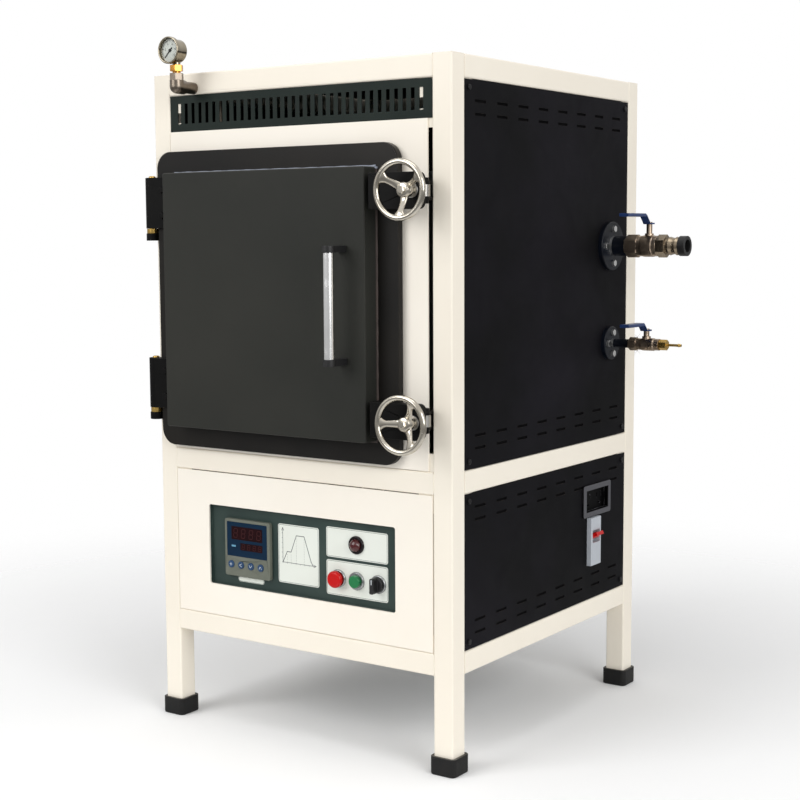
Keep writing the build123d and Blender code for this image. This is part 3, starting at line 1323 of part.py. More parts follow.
def valve_body(start, length, height, body_radius, ring_radius, hex_size, hex_length, stem_x, stem_rise, bore):
    """A ball valve: hexagonal inlet, round body between two rings, and a stem boss on top."""
    end = start + length
    hex_end = start + hex_length
    ring = (length - hex_length) * 0.18
    body = hexagon(hex_size, (start, PORT_Y, height), (hex_end, PORT_Y, height))
    profile = [
        (hex_end, ring_radius),
        (hex_end + ring, ring_radius),
        (hex_end + ring * 1.5, body_radius),
        (end - ring * 1.5, body_radius),
        (end - ring, ring_radius),
        (end, ring_radius),
    ]
    body = body + turned(profile, height)
    body = body + bar(STEM_RADIUS * 1.5, (stem_x, PORT_Y, height), (stem_x, PORT_Y, height + body_radius + 3))
    body = body - bar(bore, (start - 1, PORT_Y, height), (end + 1, PORT_Y, height))
    top = height + stem_rise
    return body + bar(STEM_RADIUS, (stem_x, PORT_Y, height + body_radius - 2), (stem_x, PORT_Y, top))


def pump_valve_body():
    return valve_body(
        PUMP_VALVE_X, PUMP_BODY_LENGTH, PUMP_Z, PUMP_BODY_RADIUS, PUMP_RING_RADIUS, PUMP_HEX,
        PUMP_HEX_LENGTH, PUMP_STEM_X, PUMP_STEM_RISE, PUMP_PIPE_RADIUS - PUMP_PIPE_WALL,
    )


def gas_valve_body():
    return valve_body(
        GAS_VALVE_X, GAS_BODY_LENGTH, GAS_Z, GAS_BODY_RADIUS, GAS_RING_RADIUS, GAS_HEX,
        GAS_HEX_LENGTH, GAS_STEM_X, GAS_STEM_RISE, GAS_PIPE_RADIUS - GAS_PIPE_WALL,
    )


def valve_lever(stem_x, stem_top, length, rise):
    """A cranked lever with a dipped sleeve, pointing to the front when the valve is shut."""
    seat = stem_top - STEM_NUT
    eye = bar(LEVER_EYE_RADIUS, (stem_x, PORT_Y, seat), (stem_x, PORT_Y, seat + LEVER_PLATE))
    crank = PORT_Y - LEVER_EYE_RADIUS
    bend = crank - rise
    tip = PORT_Y - length
    outline = [
        (PORT_Y, seat),
        (crank, seat),
        (bend, seat + rise),
        (tip, seat + rise),
        (tip, seat + rise + LEVER_PLATE),
        (bend - LEVER_PLATE / 2, seat + rise + LEVER_PLATE),
        (crank - LEVER_PLATE / 2, seat + LEVER_PLATE),
        (PORT_Y, seat + LEVER_PLATE),
    ]
    side = Plane(origin=(stem_x - LEVER_WIDTH / 2, 0, 0), x_dir=(0, 1, 0), z_dir=(1, 0, 0))
    lever = eye + extrude(side * make_face(Polyline(outline, close=True)), LEVER_WIDTH)
    sleeve_half = LEVER_WIDTH / 2 + LEVER_SLEEVE
    sleeve = block(
        (stem_x - sleeve_half, stem_x + sleeve_half),
        (tip - LEVER_SLEEVE, bend - rise / 2),
        (seat + rise - LEVER_SLEEVE, seat + rise + LEVER_PLATE + LEVER_SLEEVE),
    )
    sleeve = fillet(sleeve.edges().filter_by(Axis.Y), LEVER_SLEEVE)
    lever = lever + sleeve
    hole = bar(STEM_RADIUS + RUNNING_PLAY, (stem_x, PORT_Y, seat - 1), (stem_x, PORT_Y, stem_top + 1))
    return lever - hole


def pump_hose_coupling():
    """A hexagonal union with a ridged spigot and the open end of the vacuum connection."""
    start = PUMP_VALVE_END
    end = start + UNION_LENGTH
    part = hexagon(PUMP_HEX, (start, PORT_Y, PUMP_Z), (start + UNION_HEX_LENGTH, PORT_Y, PUMP_Z))
    spigot = end - start - UNION_HEX_LENGTH
    ridge = spigot / 4
    first = start + UNION_HEX_LENGTH
    profile = [
        (first, UNION_RADIUS),
        (first + ridge, UNION_RADIUS),
        (first + ridge, UNION_RIDGE_RADIUS),
        (first + 2 * ridge, UNION_RADIUS),
        (first + 3 * ridge, UNION_RADIUS),
        (first + 3 * ridge, UNION_RIDGE_RADIUS),
        (end, UNION_RADIUS),
    ]
    part = part + turned(profile, PUMP_Z)
    part = part + bar(HOSE_END_RADIUS, (end, PORT_Y, PUMP_Z), (end + HOSE_END_LENGTH, PORT_Y, PUMP_Z))
    bore = PUMP_PIPE_RADIUS - 2 * PUMP_PIPE_WALL
    return part - bar(bore, (start - 1, PORT_Y, PUMP_Z), (end + HOSE_END_LENGTH + 1, PORT_Y, PUMP_Z))


def gas_hose_barb():
    """A brass adaptor with a thin barbed spigot."""
    start = GAS_VALVE_END
    hex_end = start + BARB_HEX_LENGTH
    part = hexagon(BARB_HEX, (start, PORT_Y, GAS_Z), (hex_end, PORT_Y, GAS_Z))
    tip = hex_end + BARB_LENGTH
    neck = BARB_RADIUS * 0.75
    profile = [
        (hex_end, neck),
        (tip - BARB_RIDGE, neck),
        (tip - BARB_RIDGE, BARB_RADIUS),
        (tip, neck),
    ]
    part = part + turned(profile, GAS_Z)
    return part - bar(neck * 0.6, (hex_end, PORT_Y, GAS_Z), (tip + 1, PORT_Y, GAS_Z))


def gauge_pipework():
    """An elbow and union in front of the top rail, with the line that runs back to the vessel."""
    x, z = GAUGE_AXIS_X, GAUGE_PIPE_Z
    elbow_radius = GAUGE_PIPE_RADIUS * 1.2
    corner_y = GAUGE_STEM_Y
    part = bar(GAUGE_PIPE_RADIUS, (x, FRONT, z), (x, corner_y + elbow_radius, z))
    sphere = Pos(x, corner_y, z) * Sphere(elbow_radius)
    part = part + bar(elbow_radius, (x, corner_y + elbow_radius * 1.4, z), (x, corner_y, z)) + sphere
    union_bottom = GAUGE_STEM_Z - GAUGE_UNION / 2 - 1
    part = part + bar(elbow_radius, (x, corner_y, z), (x, corner_y, union_bottom))
    part = part + hexagon(GAUGE_UNION, (x, corner_y, union_bottom), (x, corner_y, GAUGE_STEM_Z))
    rear = gauge_line_y()
    bend = GAUGE_LINE_BEND
    route = FilletPolyline((x, FRONT, z), (x, rear, z), (x, rear, VESSEL_TOP - VESSEL_WALL), radius=bend)
    line = sweep(Plane(origin=route @ 0, z_dir=route % 0) * Circle(GAUGE_LINE_RADIUS), route)
    return part + line


def gauge_case():
    """The gauge's stem, body and bezel, with a sunken dial."""
    x, z = GAUGE_AXIS_X, GAUGE_CASE_Z
    y = GAUGE_STEM_Y
    neck_top = GAUGE_STEM_Z + GAUGE_NECK
    hex_top = neck_top + GAUGE_HEX_HEIGHT
    stem_top = z - GAUGE_BODY_RADIUS / 2
    case = bar(GAUGE_NECK_RADIUS, (x, y, GAUGE_STEM_Z), (x, y, stem_top))
    case = case + hexagon(GAUGE_HEX, (x, y, neck_top), (x, y, hex_top))
    body_back = GAUGE_FRONT + GAUGE_DEPTH
    bezel_back = GAUGE_FRONT + GAUGE_BEZEL
    body = bar(GAUGE_BODY_RADIUS, (x, body_back, z), (x, bezel_back, z))
    body = fillet(body.faces().sort_by(Axis.Y)[-1].edges(), 2.5)
    bezel = bar(GAUGE_RADIUS, (x, bezel_back, z), (x, GAUGE_FRONT, z))
    bezel = fillet(bezel.faces().sort_by(Axis.Y)[0].edges(), 1.2)
    case = case + body + bezel
    mouth = GAUGE_RADIUS - GAUGE_WALL
    case = case - bar(mouth, (x, GAUGE_DIAL, z), (x, GAUGE_FRONT - 1, z))
    shaft = POINTER_SHAFT_RADIUS + RUNNING_PLAY
    return case - bar(shaft, (x, GAUGE_DIAL + POINTER_SHAFT + 1, z), (x, GAUGE_DIAL - 1, z))


def gauge_lens():
    """A flat glass disc held in the bezel."""
    x, z = GAUGE_AXIS_X, GAUGE_CASE_Z
    radius = GAUGE_RADIUS - GAUGE_WALL - RUNNING_PLAY
    front = GAUGE_FRONT + GAUGE_LENS / 2
    return bar(radius, (x, front + GAUGE_LENS, z), (x, front, z))


def gauge_pointer():
    """A tapered pointer on a shaft that turns in the dial."""
    x, z = GAUGE_AXIS_X, GAUGE_CASE_Z
    back = GAUGE_DIAL - POINTER_GAP
    half = POINTER_WIDTH / 2
    outline = [
        (-POINTER_TAIL, -half),
        (-POINTER_TAIL, half),
        (0, half),
        (POINTER_LENGTH, half / 3),
        (POINTER_LENGTH, -half / 3),
        (0, -half),
    ]
    blade_face = Rot(0, 0, POINTER_START) * make_face(Polyline(outline, close=True))
    blade = extrude(facing(x, z, back) * blade_face, POINTER_THICKNESS)
    front = back - POINTER_THICKNESS
    hub = bar(POINTER_HUB_RADIUS, (x, back, z), (x, front, z))
    shaft = bar(POINTER_SHAFT_RADIUS, (x, GAUGE_DIAL + POINTER_SHAFT, z), (x, back, z))
    return blade + hub + shaft


def build():
    os.makedirs("parts", exist_ok=True)
    save("frame_posts", *frame_posts())
    save("frame_rails", *frame_rails(), *frame_tabs())
    save("foot_caps", *foot_caps())
    save("top_cover", top_cover())
    save("vent_grille", vent_grille())
    save("upper_front_panel", upper_front_panel())
    save("lower_front_panel", lower_front_panel())
    save("control_tray", control_tray())
    save("right_panels", *right_panels())
    save("left_panels", *left_panels())
    save("rear_panels", *rear_panels())
    save("bay_shelves", *bay_shelves())
    save("panel_screws", *panel_screws())
    save("vacuum_vessel", vacuum_vessel())
    save("vessel_seal", vessel_seal())
    save("fibre_lining", *fibre_lining())
    save("hearth_plate", hearth_plate())
    save("heating_elements", *heating_elements())
    save("thermocouple", thermocouple())
    save("hinge_brackets", *hinge_brackets())
    save("hinge_pins", *hinge_pins())
    save("clamp_brackets", *clamp_brackets())
    save("clamp_nuts", *clamp_nuts())
    save("port_stubs", *port_stubs())
    save("pump_valve_body", pump_valve_body())
    save("pump_hose_coupling", pump_hose_coupling())
    save("gas_valve_body", gas_valve_body())
    save("gas_hose_barb", gas_hose_barb())
    save("gauge_pipework", gauge_pipework())
    save("gauge_case", gauge_case())
    save("gauge_lens", gauge_lens())
    save("controller_case", controller_case())
    save("operator_bezels", *operator_bezels())
    save("lamp_lens", lamp_lens())
    save("socket_outlet", socket_outlet())
    save("breaker_body", breaker_body())
    save("din_rail", *din_rail())
    save("power_unit", power_unit())
    save("door_plate", door_plate())
    save("door_box", door_box())
    save("door_plug", door_plug())
    save("handle_bar", handle_bar())
    save("handle_mounts", *handle_mounts())
    save("door_hinges", *door_hinges())
    save("clamp_lugs", *clamp_lugs())
    for name, height in CLAMP_HEIGHTS.items():
        save(name + "_collar", clamp_collar(height))
    save("upper_wheel", clamp_wheel(CLAMP_HEIGHTS["upper"], UPPER_SPOKE_ANGLE))
    save("lower_wheel", clamp_wheel(CLAMP_HEIGHTS["lower"], LOWER_SPOKE_ANGLE))
    pump_top = PUMP_Z + PUMP_STEM_RISE
    gas_top = GAS_Z + GAS_STEM_RISE
    save("pump_valve_lever", valve_lever(PUMP_STEM_X, pump_top, PUMP_LEVER_LENGTH, PUMP_LEVER_RISE))
    save("gas_valve_lever", valve_lever(GAS_STEM_X, gas_top, GAS_LEVER_LENGTH, GAS_LEVER_RISE))
    save("gauge_pointer", gauge_pointer())
    for number, x in enumerate(key_places(), start=1):
        save("controller_key_%d" % number, controller_key(x))
    save("stop_button", stop_button())
    save("start_button", start_button())
    save("selector_knob", selector_knob())
    save("breaker_toggle", breaker_toggle())


build()
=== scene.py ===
import math
import random

import bpy
from mathutils import Matrix, Vector


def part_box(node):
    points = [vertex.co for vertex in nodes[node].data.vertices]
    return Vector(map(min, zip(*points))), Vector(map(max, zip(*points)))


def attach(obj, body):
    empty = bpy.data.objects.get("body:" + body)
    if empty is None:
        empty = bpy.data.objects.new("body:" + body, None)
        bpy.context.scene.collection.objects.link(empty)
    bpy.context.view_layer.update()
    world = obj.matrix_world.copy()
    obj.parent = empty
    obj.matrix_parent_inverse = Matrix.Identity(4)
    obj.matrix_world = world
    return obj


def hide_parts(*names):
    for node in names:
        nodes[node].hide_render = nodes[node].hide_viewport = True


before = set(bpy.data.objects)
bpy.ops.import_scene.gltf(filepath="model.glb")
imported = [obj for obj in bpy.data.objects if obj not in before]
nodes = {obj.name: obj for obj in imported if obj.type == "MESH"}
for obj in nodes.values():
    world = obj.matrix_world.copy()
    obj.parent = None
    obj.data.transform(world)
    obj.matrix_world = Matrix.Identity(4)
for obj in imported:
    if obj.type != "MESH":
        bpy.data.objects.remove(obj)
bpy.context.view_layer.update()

# The studio: a pale floor that fades into the white surround, a large soft key lamp at the front left,
# a fill lamp at the right, a weak top lamp, and the camera that the photograph was taken with.
studio = bpy.context.scene
studio.view_settings.view_transform = "Standard"


def add_node(tree, kind, inputs=None, **settings):
    """A shader node with its settings; an input is given a value or the socket that feeds it."""
    made = tree.nodes.new(kind)
    for key, value in settings.items():
        setattr(made, key, value)
    for key, value in (inputs or {}).items():
        if isinstance(value, bpy.types.NodeSocket):
            tree.links.new(value, made.inputs[key])
        else:
            made.inputs[key].default_value = value
    return made


def noise(tree, where, scale, detail, distortion=0.0):
    """A cloudy pattern that stays with the object, from 0 to 1."""
    made = add_node(tree, "ShaderNodeTexNoise", {"Vector": where.outputs["Object"], "Scale": scale,
                                                 "Detail": detail, "Distortion": distortion})
    return made.outputs[0]


def ranged(tree, value, low, high, to_low=0.0, to_high=1.0, curve="LINEAR"):
    """A value stretched from one range to another."""
    made = add_node(tree, "ShaderNodeMapRange", {"Value": value, "From Min": low, "From Max": high,
                                                 "To Min": to_low, "To Max": to_high},
                    interpolation_type=curve)
    return made.outputs[0]


def worked_out(tree, operation, *values, **settings):
    """The result of one sum, product or comparison of values."""
    made = add_node(tree, "ShaderNodeMath", dict(enumerate(values)), operation=operation, **settings)
    return made.outputs[0]


def tone(red, green, blue):
    """A screen colour from 0 to 255 as the linear colour that a shader takes."""
    linear = []
    for part in (red, green, blue):
        part = part / 255
        linear.append(part / 12.92 if part <= 0.04045 else ((part + 0.055) / 1.055) ** 2.4)
    return (*linear, 1.0)


ROOM_LEVEL = 0.52
surround = bpy.data.worlds.new("white_surround")
studio.world = surround
surround.use_nodes = True
sky = surround.node_tree
sky.nodes.clear()
path = add_node(sky, "ShaderNodeLightPath")
seen = worked_out(sky, "MAXIMUM", path.outputs["Is Camera Ray"], path.outputs["Is Transmission Ray"])
heading = add_node(sky, "ShaderNodeTexCoord")
heading = add_node(sky, "ShaderNodeSeparateXYZ", {0: heading.outputs["Generated"]})
walls = ranged(sky, heading.outputs["Z"], -0.25, 0.55, 0.3, 1.0)
room = add_node(sky, "ShaderNodeMix", {0: path.outputs["Is Glossy Ray"], 2: ROOM_LEVEL, 3: walls})
ambient = add_node(sky, "ShaderNodeBackground", {"Color": room.outputs[0], "Strength": 1.0})
white = add_node(sky, "ShaderNodeBackground", {"Color": (1, 1, 1, 1), "Strength": 1.0})
both = add_node(sky, "ShaderNodeMixShader", {0: seen, 1: ambient.outputs[0], 2: white.outputs[0]})
add_node(sky, "ShaderNodeOutputWorld", {"Surface": both.outputs[0]})


def area_lamp(name, place, aim, size, watts):
    """A square soft box at a place, turned towards a point."""
    light = bpy.data.lights.new(name, "AREA")
    light.shape = "SQUARE"
    light.size = size
    light.energy = watts
    lamp = bpy.data.objects.new(name, light)
    studio.collection.objects.link(lamp)
    lamp.location = place
    lamp.rotation_euler = (Vector(aim) - Vector(place)).to_track_quat("-Z", "Y").to_euler()


area_lamp("key_lamp", (-1.5, -3.6, 2.5), (0, 0, 0.6), 2.4, 77)
area_lamp("fill_lamp", (3.8, -1.6, 1.9), (0, 0, 0.6), 2.4, 82)
area_lamp("top_lamp", (0.2, -0.6, 3.9), (0, 0, 0.5), 2.0, 26)

FLOOR_RADIUS, FLOOR_RINGS, FLOOR_SECTORS = 3.4, 12, 64
FADE_START, FADE_END = 0.45, 1.9
corners = [(0, 0, 0)]
for ring in range(1, FLOOR_RINGS + 1):
    for step in range(FLOOR_SECTORS):
        angle = 2 * math.pi * step / FLOOR_SECTORS
        reach = FLOOR_RADIUS * ring / FLOOR_RINGS
        corners.append((reach * math.cos(angle), reach * math.sin(angle), 0))
faces = [(0, 1 + step, 1 + (step + 1) % FLOOR_SECTORS) for step in range(FLOOR_SECTORS)]
for ring in range(FLOOR_RINGS - 1):
    inner, outer = 1 + ring * FLOOR_SECTORS, 1 + (ring + 1) * FLOOR_SECTORS
    for step in range(FLOOR_SECTORS):
        following = (step + 1) % FLOOR_SECTORS
        faces.append((inner + step, outer + step, outer + following, inner + following))
floor_mesh = bpy.data.meshes.new("studio_floor")
floor_mesh.from_pydata(corners, [], faces)
studio_floor = bpy.data.objects.new("studio_floor", floor_mesh)
studio.collection.objects.link(studio_floor)
floor_look = bpy.data.materials.new("floor_paper")
floor_look.use_nodes = True
tree = floor_look.node_tree
place = add_node(tree, "ShaderNodeTexCoord")
fibre = noise(tree, place, 260.0, 4.0)
relief = add_node(tree, "ShaderNodeBump", {"Height": fibre, "Strength": 0.15, "Distance": 0.0004})
shade = tree.nodes["Principled BSDF"]
shade.inputs["Base Color"].default_value = tone(254, 254, 254)
shade.inputs["Roughness"].default_value = 0.9
shade.inputs["Specular IOR Level"].default_value = 0.1
tree.links.new(relief.outputs[0], shade.inputs["Normal"])
far = add_node(tree, "ShaderNodeVectorMath", {0: place.outputs["Object"]}, operation="LENGTH")
fade = ranged(tree, far.outputs["Value"], FADE_START, FADE_END, curve="SMOOTHSTEP")
clear = add_node(tree, "ShaderNodeBsdfTransparent")
blend = add_node(tree, "ShaderNodeMixShader", {0: fade, 1: shade.outputs[0], 2: clear.outputs[0]})
tree.links.new(blend.outputs[0], tree.nodes["Material Output"].inputs["Surface"])
studio_floor.data.materials.append(floor_look)

CAMERA_PLACE = Vector((1.51307, -2.20225, 0.82296))
FOCAL_LENGTH, SENSOR_WIDTH = 68.82, 36.0
turn, dip, lean = math.radians(34.676), math.radians(6.172), math.radians(-0.295)
ahead = Vector((-math.sin(turn) * math.cos(dip), math.cos(turn) * math.cos(dip), -math.sin(dip)))
level = Vector((math.cos(turn), math.sin(turn), 0))
upright = level.cross(ahead)
across = level * math.cos(lean) + upright * math.sin(lean)
upwards = upright * math.cos(lean) - level * math.sin(lean)
lens = bpy.data.cameras.new("photo_camera")
lens.sensor_width = SENSOR_WIDTH
lens.lens = FOCAL_LENGTH
camera = bpy.data.objects.new("photo_camera", lens)
studio.collection.objects.link(camera)
turned = Matrix((across, upwards, -ahead)).transposed().to_4x4()
camera.matrix_world = Matrix.Translation(CAMERA_PLACE) @ turned
studio.camera = camera

# The welded frame: four posts and twelve rails of square steel tube with rounded corners, sprayed with
# cream powder coat. Low rippled welds close the butt joints, and they are coated with the tube.


def shader_group(name, takes, gives):
    """An empty node group with its sockets, and the nodes at its two ends."""
    group = bpy.data.node_groups.new(name, "ShaderNodeTree")
    for label, kind, value in takes:
        socket = group.interface.new_socket(label, in_out="INPUT", socket_type="NodeSocket" + kind)
        socket.default_value = value
    for label, kind in gives:
        group.interface.new_socket(label, in_out="OUTPUT", socket_type="NodeSocket" + kind)
    start = group.nodes.new("NodeGroupInput")
    end = group.nodes.new("NodeGroupOutput")
    return group, start, end


def laid_over(tree, share, under, over):
    """One colour laid over another by a share from 0 to 1."""
    made = add_node(tree, "ShaderNodeMix", {0: share, 6: under, 7: over}, data_type="RGBA")
    return made.outputs[2]


coated, given, result = shader_group(
    "coated_surface",
    [("Colour", "Color", (0.8, 0.8, 0.8, 1)), ("Shade", "Color", (0.7, 0.7, 0.7, 1)),
     ("Patch Scale", "Float", 6.0), ("Patch Strength", "Float", 0.5),
     ("Grain Scale", "Float", 900.0), ("Grain Depth", "Float", 0.0001),
     ("Roughness", "Float", 0.4), ("Roughness Spread", "Float", 0.1), ("Smudges", "Float", 0.0)],
    [("Colour", "Color"), ("Roughness", "Float"), ("Normal", "Vector")],
)
where = add_node(coated, "ShaderNodeTexCoord")
cloud = ranged(coated, noise(coated, where, given.outputs["Patch Scale"], 5.0), 0.35, 0.68)
amount = worked_out(coated, "MULTIPLY", cloud, given.outputs["Patch Strength"])
mottled = laid_over(coated, amount, given.outputs["Colour"], given.outputs["Shade"])
coated.links.new(mottled, result.inputs["Colour"])
orange_peel = noise(coated, where, given.outputs["Grain Scale"], 3.0)
relief = add_node(coated, "ShaderNodeBump", {"Height": orange_peel, "Strength": 1.0,
                                             "Distance": given.outputs["Grain Depth"]})
coated.links.new(relief.outputs[0], result.inputs["Normal"])
rubbed = worked_out(coated, "SUBTRACT", noise(coated, where, 14.0, 6.0, 1.2), 0.5)
rubbed = worked_out(coated, "MULTIPLY_ADD", rubbed, given.outputs["Roughness Spread"],
                    given.outputs["Roughness"])
touches = add_node(coated, "ShaderNodeTexVoronoi", {"Vector": where.outputs["Object"], "Scale": 38.0})
touches = ranged(coated, touches.outputs["Distance"], 0.1, 0.35, 1.0, 0.0)
touches = worked_out(coated, "MULTIPLY_ADD", touches, given.outputs["Smudges"], rubbed, use_clamp=True)
coated.links.new(touches, result.inputs["Roughness"])

edges, given, result = shader_group(
    "rubbed_edges", [("Width", "Float", 0.0012), ("Amount", "Float", 0.5)], [("Mask", "Float")])
rounded = add_node(edges, "ShaderNodeBevel", {"Radius": given.outputs["Width"]}, samples=4)
facet = add_node(edges, "ShaderNodeNewGeometry")
bent = add_node(edges, "ShaderNodeVectorMath", {0: rounded.outputs[0], 1: facet.outputs["Normal"]},
                operation="DOT_PRODUCT")
bent = ranged(edges, bent.outputs["Value"], 0.97, 0.80)
where = add_node(edges, "ShaderNodeTexCoord")
broken = ranged(edges, noise(edges, where, 120.0, 5.0), 0.42, 0.6)
worn = worked_out(edges, "MULTIPLY", worked_out(edges, "MULTIPLY", bent, broken), given.outputs["Amount"])
edges.links.new(worn, result.inputs["Mask"])

dusting, given, result = shader_group("settled_dust", [("Amount", "Float", 0.3)], [("Mask", "Float")])
facet = add_node(dusting, "ShaderNodeNewGeometry")
facing_up = add_node(dusting, "ShaderNodeSeparateXYZ", {0: facet.outputs["Normal"]})
facing_up = ranged(dusting, facing_up.outputs["Z"], 0.6, 1.0)
where = add_node(dusting, "ShaderNodeTexCoord")
drift = ranged(dusting, noise(dusting, where, 22.0, 8.0), 0.3, 0.7)
lying = worked_out(dusting, "MULTIPLY", worked_out(dusting, "MULTIPLY", facing_up, drift),
                   given.outputs["Amount"])
dusting.links.new(lying, result.inputs["Mask"])

BARE_STEEL = tone(150, 146, 140)
DUST = tone(196, 190, 178)


def coated_look(name, colour, shade_colour, roughness, grain=900.0, depth=0.00008, metallic=0.0, specular=0.5,
                patch=6.0, contrast=0.5, spread=0.12, smudges=0.0, wear=0.0, wear_colour=BARE_STEEL, dust=0.0,
                coat=0.0, edge=0.0012):
    """A painted, moulded or plated look: cloudy colour, fine relief, uneven gloss, rubbed edges and dust."""
    look = bpy.data.materials.new(name)
    look.use_nodes = True
    tree = look.node_tree
    shade = tree.nodes["Principled BSDF"]
    cover = add_node(tree, "ShaderNodeGroup", {
        "Colour": colour, "Shade": shade_colour, "Patch Scale": patch, "Patch Strength": contrast,
        "Grain Scale": grain, "Grain Depth": depth, "Roughness": roughness, "Roughness Spread": spread,
        "Smudges": smudges}, node_tree=coated)
    colour_now = cover.outputs["Colour"]
    if wear:
        rub = add_node(tree, "ShaderNodeGroup", {"Amount": wear, "Width": edge}, node_tree=edges)
        colour_now = laid_over(tree, rub.outputs["Mask"], colour_now, wear_colour)
    if dust:
        film = add_node(tree, "ShaderNodeGroup", {"Amount": dust}, node_tree=dusting)
        colour_now = laid_over(tree, film.outputs["Mask"], colour_now, DUST)
    tree.links.new(colour_now, shade.inputs["Base Color"])
    tree.links.new(cover.outputs["Roughness"], shade.inputs["Roughness"])
    tree.links.new(cover.outputs["Normal"], shade.inputs["Normal"])
    for label, value in (("Metallic", metallic), ("Specular IOR Level", specular),
                         ("Coat Weight", coat), ("Coat Roughness", 0.15)):
        shade.inputs[label].default_value = value
    return look


def soften(piece, radius):
    """Rounds a piece's sharp edges by a radius in millimetres."""
    welded = piece.modifiers.new("joined_corners", "WELD")
    welded.merge_threshold = 0.00001
    rounding = piece.modifiers.new("rounded_edges", "BEVEL")
    rounding.width = radius / 1000
    rounding.segments = 2
    rounding.limit_method = "ANGLE"
    rounding.angle_limit = math.radians(38)
    rounding.use_clamp_overlap = False
    even = piece.modifiers.new("even_shading", "WEIGHTED_NORMAL")
    even.keep_sharp = False
    even.weight = 60


def dress(name, look, radius=0.0):
    """Gives a carried-over solid its look and, where it shows, rounded edges."""
    piece = nodes[name]
    for index in range(max(1, len(piece.data.materials))):
        if index < len(piece.data.materials):
            piece.data.materials[index] = look
        else:
            piece.data.materials.append(look)
    if radius:
        soften(piece, radius)


cream_paint = coated_look("cream_powder_coat", tone(242, 235, 221), tone(236, 227, 212), 0.42, grain=650.0,
                          depth=0.00012, specular=0.35, patch=3.5, contrast=0.55, wear=0.25,
                          wear_colour=tone(196, 182, 164), dust=0.12, edge=0.0016)
dress("frame_posts", cream_paint, 0.5)
dress("frame_rails", cream_paint, 0.4)


def mesh_piece(name, vertices, polygons, look, body, smooth=30.0):
    """A piece from its corners in millimetres and its faces, carried by a body of the furnace."""
    mesh = bpy.data.meshes.new(name)
    mesh.from_pydata([(x / 1000, y / 1000, z / 1000) for x, y, z in vertices], [], polygons)
    mesh.validate()
    mesh.update()
    mesh.materials.append(look)
    mesh.shade_smooth()
    mesh.set_sharp_from_angle(angle=math.radians(smooth))
    piece = bpy.data.objects.new(name, mesh)
    studio.collection.objects.link(piece)
    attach(piece, body)
    return piece


def skin(rows, steps):
    """Faces of a closed body: between its rows of corners, and one over each end."""
    polygons = []
    for row in range(rows - 1):
        for step in range(steps):
            following = (step + 1) % steps
            polygons.append((row * steps + step, row * steps + following,
                             (row + 1) * steps + following, (row + 1) * steps + step))
    polygons.append(tuple(range(steps))[::-1])
    polygons.append(tuple((rows - 1) * steps + step for step in range(steps)))
    return polygons


def tube_mesh(points, radii, sides, flat=1.0):
    """Corners and faces of a closed tube along a run of points, as high as flat says for its width."""
    vertices = []
    last = len(points) - 1
    reference = None
    for index, point in enumerate(points):
        here = Vector(point)
        before = Vector(points[max(0, index - 1)])
        after = Vector(points[min(last, index + 1)])
        along = (after - before).normalized()
        if reference is None:
            reference = Vector((0, 0, 1)) if abs(along.z) < 0.9 else Vector((0, 1, 0))
        side = along.cross(reference).normalized()
        reference = side.cross(along).normalized()
        radius = radii[index]
        for step in range(sides):
            angle = 2 * math.pi * step / sides
            spot = here + side * radius * math.cos(angle) + reference * radius * flat * math.sin(angle)
            vertices.append(tuple(spot))
    return vertices, skin(len(points), sides)


def joined(parts):
    """Several meshes as one list of corners and one of faces."""
    vertices, polygons = [], []
    for some_vertices, some_polygons in parts:
        base = len(vertices)
        vertices.extend(some_vertices)
        polygons.extend(tuple(base + index for index in face) for face in some_polygons)
    return vertices, polygons


BEAD_RADIUS, BEAD_RIPPLE, BEAD_SHAKE, BEAD_TIP = 1.25, 0.22, 0.12, 0.5
BEAD_STEP, BEAD_WAVE = 1.6, 2.1


def weld_run(start, end, seed):
    """A low rippled bead from one point to another."""
    steps = max(6, int((Vector(end) - Vector(start)).length / BEAD_STEP))
    shake = random.Random(seed)
    points = [tuple(Vector(start).lerp(Vector(end), step / steps)) for step in range(steps + 1)]
    radii = [BEAD_RADIUS + BEAD_RIPPLE * math.sin(step * BEAD_WAVE)
             + shake.uniform(-BEAD_SHAKE, BEAD_SHAKE) for step in range(steps + 1)]
    radii[0] = radii[-1] = BEAD_TIP
    return tube_mesh(points, radii, sides=8, flat=0.8)


HALF_WIDTH, HALF_DEPTH, TUBE_SIZE = 295.0, 305.0, 35.0
RAIL_LEVELS = (153.0, 432.0, 1052.0)
BEAD_END, BEAD_SUNK, BEAD_HUNG = 2.0, 0.55, 0.3
NEAR_CORNER, FAR_CORNER = 4.0, 31.0
bead_parts = []
for level in RAIL_LEVELS:
    low, high, under = level + BEAD_END, level + TUBE_SIZE - BEAD_END, level + BEAD_HUNG
    for side in (-1, 1):
        for end in (-1, 1):
            seam_x, edge_x = side * (HALF_WIDTH - TUBE_SIZE), side * (HALF_WIDTH - BEAD_SUNK)
            seam_y, edge_y = end * (HALF_DEPTH - TUBE_SIZE), end * (HALF_DEPTH - BEAD_SUNK)
            bead_parts.append(weld_run((seam_x, edge_y, low), (seam_x, edge_y, high), level + side))
            bead_parts.append(weld_run((edge_x, seam_y, low), (edge_x, seam_y, high), level + end))
            bead_parts.append(weld_run((seam_x, end * (HALF_DEPTH - NEAR_CORNER), under),
                                       (seam_x, end * (HALF_DEPTH - FAR_CORNER), under), level + 7))
            bead_parts.append(weld_run((side * (HALF_WIDTH - NEAR_CORNER), seam_y, under),
                                       (side * (HALF_WIDTH - FAR_CORNER), seam_y, under), level + 9))
mesh_piece("frame_weld_beads", *joined(bead_parts), cream_paint, "cabinet", 60)

